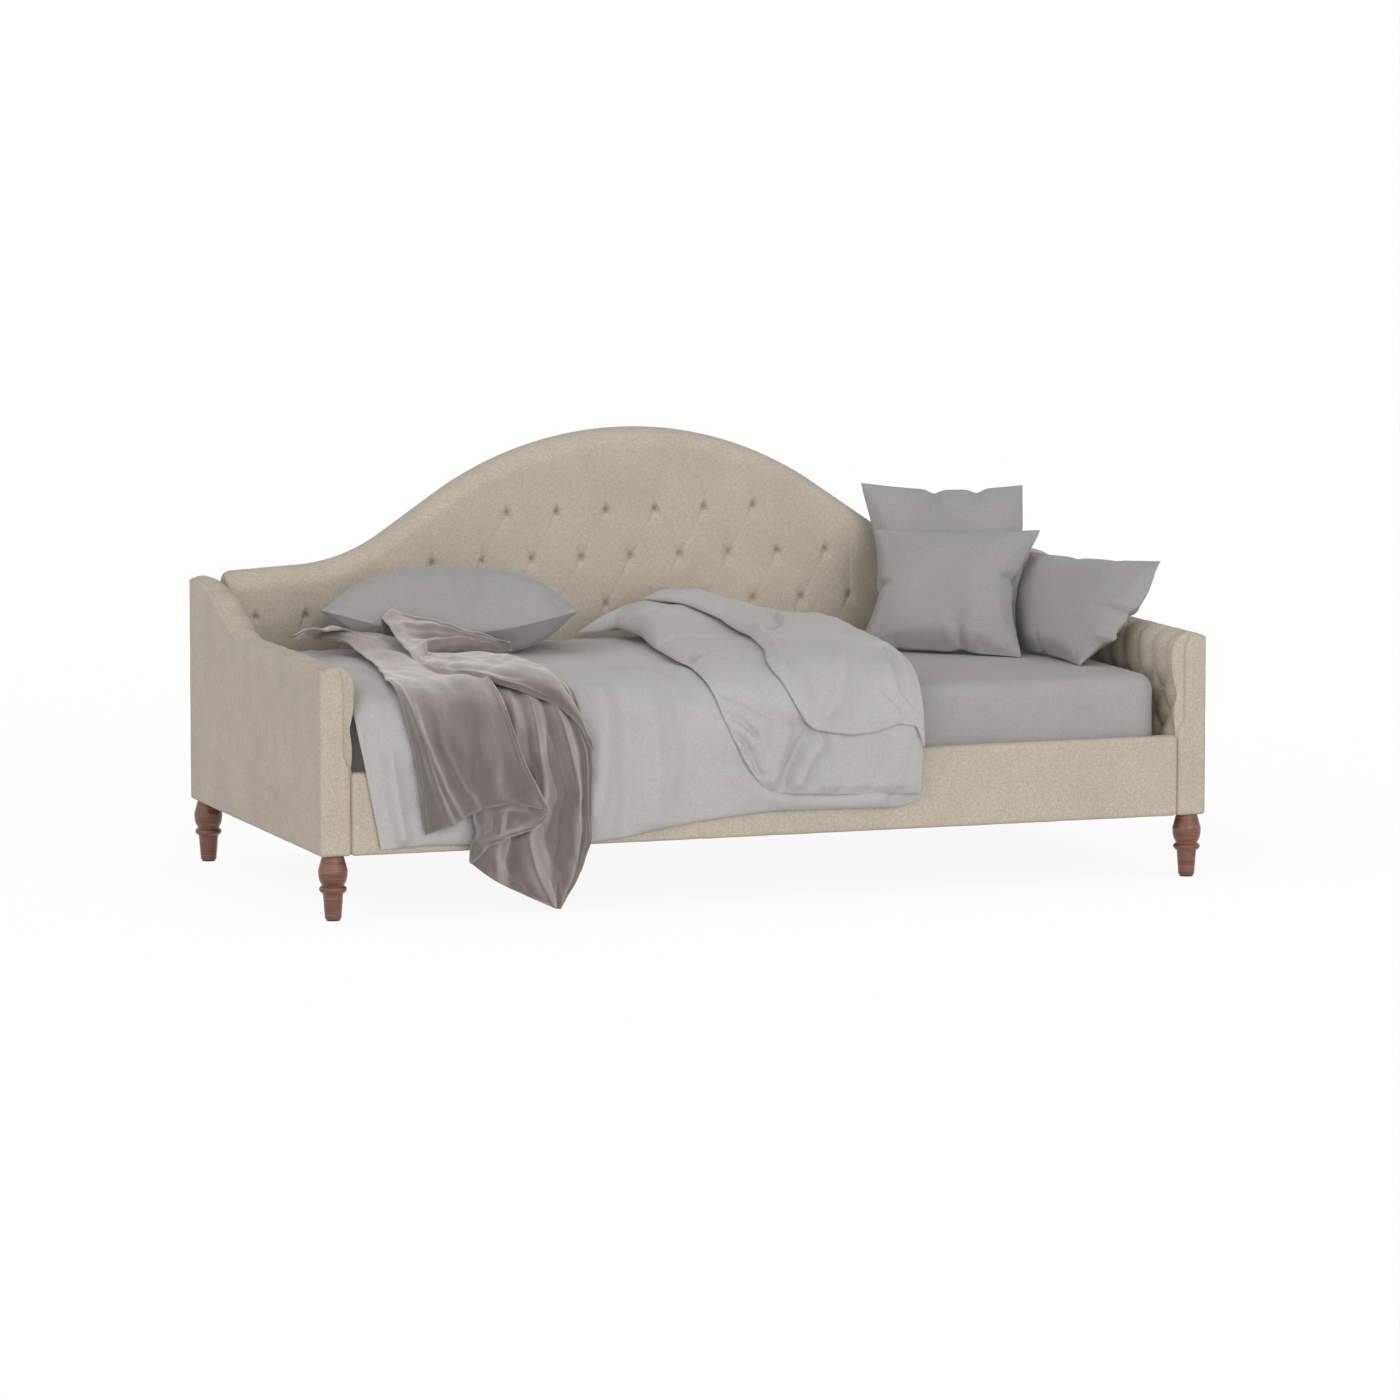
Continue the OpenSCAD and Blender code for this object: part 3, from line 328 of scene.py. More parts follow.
places = [(i * tuft_x / 2, tuft_base + j * tuft_z) for (i, j) in back_knots]
button_pit, pit_r = 0.0036, 0.0042
groove, groove_r, knot_r = 0.0024, 0.0032, 0.024
field, near_knot, near_crease = tufted_field(us, vs, places, back_creases, crease_rise=0.0125,
                                             crease_fade=0.0070, swell=back_puff, soft=12)
field = np.minimum(field, back_puff) - button_pit * np.exp(-(near_knot / pit_r) ** 2)
field -= groove * np.exp(-(near_crease / groove_r) ** 2) * (0.30 + np.exp(-(near_knot / knot_r) ** 2))

rows, front_roll, rear_roll = 230, 0.045, 0.035
top = back_top(us)[:, None]
spring = top - front_roll
z = back_foot + (spring - back_foot) * np.linspace(0, 1, rows)[None, :]
x = np.repeat(us[:, None], rows, axis=1)
lift = sample(field, us, vs, x, z)
face = np.stack([x, face_y + back_puff - lift, z], axis=-1)
sunk = back_puff - lift[:, -1:]
turn = np.radians(np.linspace(9, 90, 10))[None, :]
over = np.stack([np.repeat(us[:, None], 10, axis=1), crest_y - (crest_y - face_y - sunk) * np.cos(turn),
                 spring + (front_roll - 0.3 * sunk) * np.sin(turn)], axis=-1)
turn = np.radians(np.linspace(12, 90, 8))[None, :]
down = np.stack([np.repeat(us[:, None], 8, axis=1),
                 crest_y + (back_rear_y - crest_y) * np.sin(turn) + 0 * sunk,
                 top - rear_roll + (rear_roll - 0.3 * sunk * np.cos(turn)) * np.cos(turn)], axis=-1)
shut = top[:, 0] - 0.040
flat = [np.stack([us, np.full(us.shape, y), z + 0 * us], axis=-1)[:, None, :]
        for (y, z) in ((back_rear_y, shut), (back_board_y, shut), (back_board_y, back_foot))]


def drawn_in(ring, axis, amount):
    """A ring square to an axis, moved by amount towards the line along its own middle."""
    a, b = [k for k in range(3) if k != axis]
    low, high = ring.min(axis=0), ring.max(axis=0)
    narrow, long = (a, b) if high[a] - low[a] < high[b] - low[b] else (b, a)
    half = (high[narrow] - low[narrow]) / 2
    spine = ring.copy()
    spine[:, narrow] = low[narrow] + half
    spine[:, long] = np.clip(ring[:, long], low[long] + half, high[long] - half)
    nearly_closed = 0.992
    return ring + (spine - ring) * min(amount / half, nearly_closed)


def round_ends(rings, axis, radius, steps=6):
    """Rings whose two ends are turned over into round edges and closed by flat ends."""
    way = math.copysign(1.0, rings[-1][0, axis] - rings[0][0, axis])
    ends = []
    for (ring, sign) in ((rings[0], way), (rings[-1], -way)):
        group = [drawn_in(ring, axis, amount) for amount in (1.0, radius + 0.012, radius + 0.005)]
        for a in np.radians(np.linspace(90, 10, steps)):
            each = drawn_in(ring, axis, radius * (1 - math.cos(a)))
            each[:, axis] += sign * radius * (1 - math.sin(a))
            group.append(each)
        ends.append(group)
    span = (rings[0][0, axis], rings[-1][0, axis])
    inner = [ring for ring in rings if min(span) + radius < ring[0, axis] < max(span) - radius]
    return ends[0] + inner + ends[1][::-1]


rings = round_ends(list(np.concatenate([face, over, down] + flat, axis=1)), 0, 0.016)
back_pad = surface("tufted_back", rings)
finish(back_pad, linen, "linen", "back_pad")


# ---- Back buttons ----
# Small domed buttons covered in the same linen, drawn down with twine until each sinks
# into its dimple.

def covered_button(radius, thickness):
    """A domed cloth-covered button facing -Y, its back on the plane Y = 0."""
    bpy.ops.object.select_all(action="DESELECT")
    bpy.ops.mesh.primitive_cylinder_add(vertices=16, radius=radius, depth=thickness * 0.5,
                                        end_fill_type="NGON")
    made = bpy.context.object
    bpy.ops.object.mode_set(mode="EDIT")
    bpy.ops.mesh.select_mode(type="FACE")
    bpy.ops.mesh.select_all(action="DESELECT")
    bpy.ops.object.mode_set(mode="OBJECT")
    for face in made.data.polygons:
        face.select = face.normal.z > 0.9
    bpy.ops.object.mode_set(mode="EDIT")
    bpy.ops.mesh.inset(thickness=radius * 0.28, depth=thickness * 0.3)
    bpy.ops.mesh.inset(thickness=radius * 0.34, depth=thickness * 0.16)
    bpy.ops.mesh.select_all(action="SELECT")
    bpy.ops.transform.translate(value=(0, 0, thickness * 0.25))
    bpy.ops.transform.rotate(value=math.radians(-90), orient_axis="X", center_override=(0, 0, 0))
    bpy.ops.object.mode_set(mode="OBJECT")
    points = np.array([v.co[:] for v in made.data.vertices])
    if points[:, 1].mean() > 0:
        made.data.transform(Matrix.Rotation(math.pi, 4, "Z"))
    return made


def joined(parts, name):
    """Parts made into one object."""
    bpy.ops.object.select_all(action="DESELECT")
    for part in parts:
        part.select_set(True)
    bpy.context.view_layer.objects.active = parts[0]
    bpy.ops.object.join()
    parts[0].name = name
    parts[0].select_set(False)
    return parts[0]


def copies(first, name, places):
    """One object that holds a copy of the first at each place, in place of the first."""
    made = []
    for place in places:
        mesh = first.data.copy()
        mesh.transform(place)
        each = bpy.data.objects.new(name, mesh)
        bpy.context.collection.objects.link(each)
        made.append(each)
    bpy.data.objects.remove(first)
    return joined(made, name)


back_buttons = copies(covered_button(0.0052, 0.004), "back_tuft_buttons",
                      [Matrix.Translation((x, face_y + back_puff + 0.0060, z)) for (x, z) in places])
finish(back_buttons, linen, "linen", "back_buttons", angle=60)


# ---- Outside back ----
# A plain linen panel over thin wadding, tacked blind under the top edge and stapled
# under the bottom rail.

def soften(points, amount, size, seed):
    """Moves points a little, as cloth over wadding wanders, by amount over about size."""
    flat = np.asarray(points, dtype=float).reshape(-1, 3)
    start = Vector((seed, 0.0, -seed))
    wander = [noise.noise_vector(Vector((q / size).tolist()) + start) for q in flat]
    return (flat + amount * np.array(wander)).reshape(np.shape(points))


cover_low, cover_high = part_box("back_cover")
rear, foot = cover_high[1], cover_low[2]
end_x = np.array([0.0, 0.002])
xs = np.concatenate([end_x - back_half, np.linspace(-back_half + 0.006, back_half - 0.006, 240),
                     back_half - end_x[::-1]])
insets = np.zeros(len(xs))
insets[:2] = (0.004, 0.0012)
insets[-2:] = (0.0012, 0.004)
rings = []
for x, inset in zip(xs, insets):
    seam = float(back_top(x)) - 0.035
    ring = [(back_board_y, foot + 0.006), (back_board_y, foot + inset), (rear - 0.008, foot + inset)]
    ring += arc(rear - inset - 0.008, foot + inset + 0.008, [0.008], -60, 0, 3)
    ring += [(rear - inset, foot + 0.008 + (seam - 0.016 - foot) * k) for k in np.linspace(0.02, 1, 60)]
    ring += arc(rear - inset - 0.005, seam - inset - 0.008, [0.005, 0.008], 30, 90, 3)
    ring += [(rear - 0.006, seam - inset), (rear - 0.006, foot + 0.006)]
    rings.append([(x, y, z) for (y, z) in ring])
back_cover = surface("outside_back", soften(rings, 0.0007, 0.05, 3.0))
finish(back_cover, linen, "linen", "back_cover")


# ---- Arms ----
# Each arm is one skin of linen: plain outside and in front, and tufted inside in small
# diamonds whose pleats run up over the crest as channels. A seam follows the crest.

arm_low, arm_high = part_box("right_arm_cover")
arm_t = 0.070
arm_outer = arm_high[0]
arm_front, arm_back = arm_low[1], arm_high[1]
arm_foot = arm_low[2]
arm_crest_s, outer_drop, inner_drop, arm_puff = 0.033, 0.012, 0.042, 0.010
seam_s, seam_depth = 0.012, 0.0018
channel_pitch, arm_tuft_z, arm_tuft_base = 0.0825, 0.046, 0.328
channel_0 = arm_front + 0.070
pad_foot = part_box("right_arm_pad")[0][2]
pad_back = arm_back - 0.125


def arm_top(y):
    """Height of the arm's crest, which swoops up towards the back."""
    return 0.558 + 0.103 * smooth((np.asarray(y, dtype=float) - arm_front - 0.625) / 0.360)


arm_knots = [(c, j) for c in range(0, 21) for j in range(0, 4) if (c + j + 1) % 2 == 0]
arm_creases = []
for (c, j) in arm_knots:
    y, z = channel_0 + c * channel_pitch / 2, arm_tuft_base + j * arm_tuft_z
    for m in (c - 1, c + 1):
        for n in (j - 1, j + 1):
            if 0 <= n <= 3:
                arm_creases.append((y, z, channel_0 + m * channel_pitch / 2, arm_tuft_base + n * arm_tuft_z))
    if j == 3:
        arm_creases.append((y, z, y, 0.70))
    if j == 0:
        arm_creases.append((y, z, y, pad_foot - 0.02))
    if c == 0:
        arm_creases += [(y, z, y - 0.050, z + k * arm_tuft_z) for k in (-1, 1) if j + k < 4]
us = np.linspace(arm_front + 0.006, pad_back, 301)
vs = np.arange(pad_foot, 0.66, us[1] - us[0])
arm_places = [(channel_0 + c * channel_pitch / 2, arm_tuft_base + j * arm_tuft_z) for (c, j) in arm_knots]
arm_field, near_knot = tufted_field(us, vs, arm_places, arm_creases, crease_rise=0.0010,
                                    crease_fade=0.03, swell=0.0280, soft=2, steps=400)[:2]
crown, arm_pit, arm_pit_r, blend_run = 0.0210, 0.003, 0.006, 0.018
arm_field = crown * np.tanh(arm_field / crown) - arm_pit * np.exp(-(near_knot / arm_pit_r) ** 2)
edge = np.minimum((us - us[0]) * 2.2, us[-1] - us)[:, None]
blend = np.clip(edge / blend_run, 0, 1)
arm_field = arm_field * blend + arm_puff * (1 - blend)
arm_foot_r, arm_inner_r = 0.007, 0.006
front_roll, roll_s, roll_run, roll_z, roll_rise = 0.016, 0.040, 0.028, 0.335, 0.030


def arm_ring(y):
    """Section of an arm, as distances in from its outer face and heights."""
    top = float(arm_top(y))
    spring = top - inner_drop
    zs = np.linspace(arm_foot + arm_inner_r, spring, 100)
    lift = np.full(zs.shape, arm_puff)
    if us[0] < y < us[-1]:
        lift = sample(arm_field, us, vs, np.full(zs.shape, y), np.maximum(zs, pad_foot))
    lift = arm_puff + (lift - arm_puff) * np.clip((zs - pad_foot) / 0.02, 0, 1)
    sunk = arm_puff - lift
    ring = [(arm_t - d, z) for d, z in zip(sunk, zs)]
    last = sunk[-1]
    for a in np.radians(np.linspace(9, 90, 10)):
        fade = 1 - 0.5 * a / (math.pi / 2)
        ring.append((arm_crest_s + (arm_t - arm_crest_s - last * fade) * math.cos(a),
                     spring + (inner_drop - last * fade * 0.7) * math.sin(a)))
    for a in np.radians(np.linspace(10, 90, 14)):
        s_in = arm_crest_s * (1 - math.sin(a))
        seam = seam_depth * math.exp(-((s_in - seam_s) / 0.0022) ** 2)
        fade = 0.5 * min(1.0, max(0.0, (s_in - seam_s) / (arm_crest_s - seam_s)))
        ring.append((s_in, top - outer_drop + (outer_drop - last * fade * 0.7) * math.cos(a) - seam))
    ring += [(0.0, z) for z in np.linspace(top - outer_drop - 0.008, arm_foot + arm_foot_r, 60)]
    ring += arc(arm_foot_r, arm_foot + arm_foot_r, [arm_foot_r], 180, 270, 4)
    ring += [(s, arm_foot) for s in np.linspace(0.02, 0.05, 3)]
    ring += arc(arm_t - arm_inner_r, arm_foot + arm_inner_r, [arm_inner_r], -90, -30, 3)
    return np.array(ring)


def arm_skin(side, name):
    """The whole skin of one arm, with round ends and a broad soft roll inside its front."""
    ys = np.concatenate([np.arange(arm_front, pad_back, us[1] - us[0]), np.linspace(pad_back, arm_back, 14)])
    rings = []
    for y in ys:
        ring = arm_ring(y)
        near = max(0.0, front_roll - (y - arm_front))
        drawn = front_roll - math.sqrt(front_roll ** 2 - near ** 2)
        above = np.clip((ring[:, 1] - roll_z) / roll_rise, 0, 1)
        ring[:, 0] -= drawn * smooth((ring[:, 0] - roll_s) / roll_run) * above
        rings.append(np.stack([side * (arm_outer - ring[:, 0]), np.full(len(ring), y), ring[:, 1]], axis=-1))
    rings = round_ends(rings, 1, 0.011)
    return surface(name, soften(rings, 0.0006, 0.035, 7.0 * side))


for side, name in ((-1, "left_arm"), (1, "right_arm")):
    skin = arm_skin(side, name + "_upholstery")
    finish(skin, linen, "linen", name + "_pad", name + "_cover")
    turn = Matrix.Rotation(-side * math.pi / 2, 4, "Z")
    dot_x = side * (arm_outer - arm_t + arm_puff + 0.0035)
    dots = copies(covered_button(0.0044, 0.0035), name + "_tuft_buttons",
                  [Matrix.Translation((dot_x, y, z)) @ turn for (y, z) in arm_places])
    finish(dots, linen, "linen", name + "_buttons", angle=60)


# ---- Front rail ----
# A rail of timber wrapped in wadding and linen, its corners softened, bolted between
# the arms with a fine shadow gap at each end.

rail_low, rail_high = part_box("front_rail_cover")
(y0, z0), (y1, z1) = rail_low[1:], rail_high[1:]
top_r, foot_r = 0.012, 0.008
ring = [(y0, z) for z in np.linspace(z0 + foot_r, z1 - top_r, 26)]
ring += arc(y0 + top_r, z1 - top_r, [top_r], 165, 90, 6)
ring += [(y, z1) for y in np.linspace(y0 + top_r, y1 - top_r, 5)[1:-1]]
ring += arc(y1 - top_r, z1 - top_r, [top_r], 90, 0, 7)
ring += [(y1, z) for z in np.linspace(z1 - top_r, z0 + foot_r, 26)[1:]]
ring += arc(y1 - foot_r, z0 + foot_r, [foot_r], -22, -90, 4)
ring += [(y, z0) for y in np.linspace(y1 - foot_r, y0 + foot_r, 5)[1:-1]]
ring += arc(y0 + foot_r, z0 + foot_r, [foot_r], 270, 202, 4)
rings = [np.array([(x, y, z) for (y, z) in ring]) for x in np.linspace(rail_low[0], rail_high[0], 300)]
rail = surface("front_rail_upholstery", soften(round_ends(rings, 0, 0.009), 0.0006, 0.035, 11.0))
finish(rail, linen, "linen", "front_rail_cover")


# ---- Turned legs ----
# Beech legs turned on a lathe and stained to a red walnut, with a satin lacquer. The
# figure runs across the leg in short dark streaks.

def finish_nodes(material, names):
    """Gives CAD pieces their finish through the slots they came with."""
    for name in names:
        for slot in nodes[name].material_slots:
            slot.material = material


def overlaid(tree, colour, *layers):
    """A colour with others laid over it, each by a texture: its range, the shares and the colour."""
    colour = paint(colour)
    for (source, start, end, low, high, other) in layers:
        share = add(tree, "MapRange", {"Value": source, "From Min": start, "From Max": end,
                                       "To Min": low, "To Max": high})
        colour = add(tree, "Mix", {0: share, 6: colour, 7: paint(other)}, data_type="RGBA").outputs[2]
    return colour


walnut, tree, shader, place = new_material("red_walnut_stained_beech")
# Growth rings are 2 to 5 mm apart and run some 60 mm across the turning
figure = []
for (stretch, detail, rough, warp) in (((14.0, 14.0, 300.0), 4.0, 0.62, 0.5),
                                       ((9.0, 9.0, 75.0), 2.0, 0.5, 0.8),
                                       ((180.0, 180.0, 1500.0), 1.0, 0.5, 0.0)):
    run = add(tree, "Mapping", {"Vector": place, "Scale": stretch})
    figure.append(add(tree, "TexNoise", {"Vector": run, "Scale": 1.0, "Detail": detail, "Roughness": rough,
                                         "Distortion": warp}))
streak, band, pore = figure
feed(tree, shader, {
    "Base Color": overlaid(tree, "#5a3023", (streak, 0.3, 0.7, 0.0, 1.0, "#93604b"),
                           (band, 0.3, 0.7, 0.55, -0.35, "#43231a")),
    "Normal": add(tree, "Bump", {"Height": pore, "Strength": 0.15, "Distance": 0.0004}),
    "Roughness": 0.42, "Coat Weight": 0.25, "Coat Roughness": 0.3})
finish_nodes(walnut, ["leg_front_left", "leg_front_right", "leg_back_left", "leg_back_right"])


# ---- Glides ----
# Pressed felt-faced plastic discs under the feet.

glide_plastic, tree, shader, place = new_material("black_moulded_polyethylene")
# A fine moulded grain of about 1 mm
grain = add(tree, "TexNoise", {"Vector": place, "Scale": 900.0, "Detail": 2.0})
feed(tree, shader, {
    "Base Color": tinted(tree, "#1f1c1b", (grain, 0.85, 1.15)),
    "Normal": add(tree, "Bump", {"Height": grain, "Strength": 0.2, "Distance": 0.0003}),
    "Roughness": 0.6})
finish_nodes(glide_plastic, ["leg_glides"])


# ---- Timbers ----
# Planed pine rails, posts, ledgers and slats. The grain follows each timber's length,
# with honey-brown late wood between pale early wood, and a knot here and there.

def pine(name, along):
    material, tree, shader, place = new_material(name)
    # Growth lines 3 mm apart, wandering over 40 mm, and 30 mm stretches of colour
    stretch = [260.0, 260.0, 260.0]
    stretch[along] = 9.0
    run = add(tree, "Mapping", {"Vector": place, "Scale": stretch})
    lines = add(tree, "TexNoise", {"Vector": run, "Scale": 1.0, "Detail": 3.0, "Distortion": 0.6})
    broad = add(tree, "TexNoise", {"Vector": place, "Scale": 14.0, "Detail": 2.0})
    knots = add(tree, "TexVoronoi", {"Vector": place, "Scale": 3.2})
    feed(tree, shader, {
        "Base Color": overlaid(tree, "#c79f6e", (lines, 0.3, 0.7, 0.0, 1.0, "#e3c79a"),
                               (broad, 0.3, 0.7, 0.0, 0.35, "#d2ac78"),
                               (knots, 0.02, 0.05, 0.75, 0.0, "#7a4d2c")),
        "Normal": add(tree, "Bump", {"Height": lines, "Strength": 0.25, "Distance": 0.0006}),
        "Roughness": 0.7})
    return material


finish_nodes(pine("planed_pine_lengthwise", 0),
             ["back_bottom_rail", "back_top_rail", "front_rail_board", "front_ledger", "back_ledger"])
arm_rails = [side + "_arm_" + rail for side in ("left", "right") for rail in ("bottom_rail", "top_rail")]
finish_nodes(pine("planed_pine_crosswise", 1), arm_rails + ["slat_%d" % k for k in range(1, 15)])
finish_nodes(pine("planed_pine_upright", 2), ["back_posts", "left_arm_posts", "right_arm_posts"])


# ---- Hardboard ----
# Smooth brown hardboard that carries the foam, with a mottled pressed surface.

hardboard, tree, shader, place = new_material("tempered_hardboard")
# Pressed fibres 2 mm across in mottled patches of 20 mm
fibre = add(tree, "TexNoise", {"Vector": place, "Scale": 520.0, "Detail": 3.0})
mottle = add(tree, "TexNoise", {"Vector": place, "Scale": 48.0, "Detail": 3.0})
feed(tree, shader, {
    "Base Color": tinted(tree, "#8a6343", (fibre, 0.88, 1.12), (mottle, 0.92, 1.08)),
    "Normal": add(tree, "Bump", {"Height": fibre, "Strength": 0.2, "Distance": 0.0004}),
    "Roughness": 0.55})
finish_nodes(hardboard, ["back_board", "left_arm_board", "right_arm_board"])


# ---- Steel fittings ----
# Pressed brackets, bolts, tee nuts and screws in bright zinc, which greys in patches.

zinc, tree, shader, place = new_material("bright_zinc_plated_steel")
# Spangle and handling marks of 4 to 10 mm
spangle = add(tree, "TexNoise", {"Vector": place, "Scale": 180.0, "Detail": 3.0})
rough = add(tree, "MapRange", {"Value": spangle, "From Min": 0.3, "From Max": 0.7,
                               "To Min": 0.28, "To Max": 0.45})
feed(tree, shader, {"Base Color": tinted(tree, "#b9bcbf", (spangle, 0.85, 1.1)),
                    "Roughness": rough, "Metallic": 1.0})
finish_nodes(zinc, ["ledger_screws", "leg_bolts", "leg_tee_nuts", "corner_brackets", "bracket_bolts"])


# ---- Slat straps ----
# Two bands of white herringbone tape, stapled to each slat to keep the spacing.

tape, tree, shader, place = new_material("white_herringbone_tape")
# Herringbone ribs 4 mm apart
ribs = add(tree, "TexWave", {"Vector": place, "Scale": 40.0, "Distortion": 1.5, "Detail": 1.0,
                             "Detail Scale": 3.0}, bands_direction="DIAGONAL").outputs["Fac"]
feed(tree, shader, {
    "Base Color": tinted(tree, "#dedcd4", (ribs, 0.95, 1.03)),
    "Normal": add(tree, "Bump", {"Height": ribs, "Strength": 0.4, "Distance": 0.0005}),
    "Roughness": 0.9})
finish_nodes(tape, ["slat_straps"])


# ---- Mattress ----
# A sprung mattress in quilted white ticking, with a bound edge above and below. The
# fitted sheet covers it but for a strip near the slats.

def run_length(line):
    """Length along a line at each of its points."""
    return np.concatenate([[0], np.cumsum(np.linalg.norm(np.diff(line, axis=0), axis=1))])


def rounded_outline(low, high, radius, count):
    """Points and outward directions around a rectangle with round corners."""
    (x0, y0), (x1, y1) = low + radius, high - radius
    runs = []
    for (cx, cy, start) in ((x1, y0, -90), (x1, y1, 0), (x0, y1, 90), (x0, y0, 180)):
        runs += arc(cx, cy, [radius], start, start + 90, 13)
    runs = np.array(runs + runs[:1])
    length = run_length(runs)
    at = np.linspace(0, length[-1], count, endpoint=False)
    ring = np.stack([np.interp(at, length, runs[:, k]) for k in (0, 1)], axis=-1)
    along = np.roll(ring, -1, axis=0) - np.roll(ring, 1, axis=0)
    along /= np.linalg.norm(along, axis=1)[:, None]
    return ring, np.stack([along[:, 1], -along[:, 0]], axis=-1)


def block_rings(ring, out, section):
    """Rings around an outline at each (inset, z) of a section."""
    level = np.ones((len(ring), 1))
    return [np.concatenate([ring - out * inset, level * z], axis=1) for (inset, z) in section]


mat_low, mat_high = map(np.array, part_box("mattress"))
mat_r, bound_r, slack = 0.055, 0.035, 0.0015
ring, out = rounded_outline(mat_low[:2] + slack, mat_high[:2] - slack, mat_r, 560)
section = arc(bound_r, mat_low[2] + 0.032, [bound_r, 0.030], 270, 180, 9)
section += [(0.0, z) for z in np.linspace(mat_low[2] + 0.04, mat_high[2] - 0.042, 12)]
section += arc(bound_r, mat_high[2] - slack - bound_r, [bound_r], 180, 90, 9)
mattress = surface("quilted_mattress", block_rings(ring, out, section))

ticking, tree, shader, place = new_material("white_damask_ticking")
# Quilted in waves 60 mm apart over a woven figure of 5 mm
quilt = add(tree, "TexWave", {"Vector": place, "Scale": 5.2, "Distortion": 3.0, "Detail": 0.0,
                              "Detail Scale": 1.2}, bands_direction="DIAGONAL").outputs["Fac"]
figure = add(tree, "TexVoronoi", {"Vector": place, "Scale": 190.0})
height = add(tree, "Math", {0: quilt, 1: 0.35}, operation="POWER")
feed(tree, shader, {
    "Base Color": tinted(tree, "#e6e4df", (figure, 1.03, 0.93)),
    "Normal": add(tree, "Bump", {"Height": height, "Strength": 0.8, "Distance": 0.006}),
    "Roughness": 0.85})
finish(mattress, ticking, "ticking", "mattress")


# ---- Fitted sheet ----
# A grey cotton sheet with elastic in its hem, pulled over the mattress and down its sides.

def cotton(name, colour):
    """Plain-woven cotton: threads 0.5 mm apart, a soft cloud of wear and a matt surface."""
    material, tree, shader, place = new_material(name)
    thread = add(tree, "TexNoise", {"Vector": place, "Scale": 900.0, "Detail": 2.0, "Roughness": 0.7})
    # A broken fleck of 4 mm and a cloud of 120 mm
    fleck = add(tree, "TexNoise", {"Vector": place, "Scale": 240.0, "Detail": 3.0, "Roughness": 0.7})
    cloud = add(tree, "TexNoise", {"Vector": place, "Scale": 8.0, "Detail": 3.0})
    feed(tree, shader, {
        "Base Color": tinted(tree, colour, (fleck, 0.90, 1.10), (thread, 0.93, 1.07), (cloud, 0.96, 1.04)),
        "Normal": add(tree, "Bump", {"Height": thread, "Strength": 0.5, "Distance": 0.0005}),
        "Roughness": 0.88, "Sheen Weight": 0.12, "Sheen Roughness": 0.6})
    return material


grey_cotton = cotton("mid_grey_washed_cotton", "#a9a8a7")
sheet_low, sheet_high = map(np.array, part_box("fitted_sheet"))
sheet_t, roll, top_z = 0.0012, 0.036, sheet_high[2] - 0.0003
sheet_corners = (sheet_low[:2] + (-0.014, 0.0003), sheet_high[:2] + (0.010, -0.0003))
ring, out = rounded_outline(*sheet_corners, mat_r + 0.001, 700)
sides = [(0.0003 * math.sin(70 * z), z) for z in np.linspace(sheet_low[2] + 0.001, top_z - roll, 16)]
turned_over = sides[-1:] + arc(roll, top_z - roll, [roll], 172, 90, 12)
sides = sides[:-1]
outer = block_rings(ring, out, sides + turned_over)
inner = block_rings(ring, out, [(d + sheet_t, z) for (d, z) in sides]
                    + [(d + 0.8 * sheet_t, z - 0.9 * sheet_t) for (d, z) in turned_over])
centre = (sheet_low + sheet_high)[:2] / 2


def to_middle(last):
    """Rings that close in from an edge to the middle of the sheet, at the edge's height."""
    spine = np.clip(last[:, 0] - centre[0], -0.45, 0.45) + centre[0]
    middle = np.stack([spine, np.full(len(last), centre[1]), last[:, 2]], axis=-1)
    return [last * (1 - k) + middle * k for k in np.linspace(0, 1, 26)[1:-1]]


rings = to_middle(inner[-1])[::-1] + inner[::-1] + outer + to_middle(outer[-1])
sheet = surface("fitted_sheet_cover", rings)
finish(sheet, grey_cotton, "sheet", "fitted_sheet")


# ---- Duvet ----
# A light grey duvet lies across the bed and hangs over the front. Its right-hand side is
# turned back on itself in two puffy layers that step down over the front.

lie_z = sheet_high[2]
bend_y, hang_y = mat_low[1] + 0.055, rail_low[1] - 0.0025
fall = []
for t in np.linspace(0, 1, 25):
    a, b, c, d = (1 - t) ** 3, 3 * t * (1 - t) ** 2, 3 * t * t * (1 - t), t ** 3
    fall.append((a * bend_y + b * (bend_y - 0.070) + (c + d) * hang_y,
                 (a + b) * lie_z + c * (lie_z - 0.045) + d * (rail_high[2] + 0.004)))
bed_line = np.array([(mat_high[1] + 0.05, lie_z)] + fall + [(hang_y, -0.2)])
bed_length = run_length(bed_line)
lean = np.gradient(bed_line, bed_length, axis=0)
lean = np.stack([lean[:, 1], -lean[:, 0]], axis=-1) / np.linalg.norm(lean, axis=1)[:, None]
lean[0], lean[-1] = (0, 1), (-1, 0)


def lying(y):
    """Length along the bed at depth y on its top."""
    return float(bed_line[0, 0] - y)


def hanging(z):
    """Length along the bed at height z before its front."""
    falling = -bed_line[:, 1] - 1e-7 * np.arange(len(bed_line))[::-1]
    return float(np.interp(-z, falling, bed_length))


def along_bed(on_top, in_front=()):
    """Places along the bed from places in mm: (x, depth) on its top, then (x, height) before
    its front. A third number is a height above the bed."""
    made = [(x / 1000, lying(y / 1000), *up) for (x, y, *up) in on_top]
    made += [(x / 1000, hanging(z / 1000), *up) for (x, z, *up) in in_front]
    return [(x, length, *(each / 1000 for each in up)) for (x, length, *up) in made]

def over_bed(places):
    """Points in space of (x, length along the bed, height above it)."""
    places = np.asarray(places, dtype=float)
    lines = (bed_line[:, 0], bed_line[:, 1], lean[:, 0], lean[:, 1])
    y, z, ny, nz = (np.interp(places[..., 1], bed_length, line) for line in lines)
    up = places[..., 2] / np.hypot(ny, nz)
    return np.stack([places[..., 0], y + up * ny, z + up * nz], axis=-1)


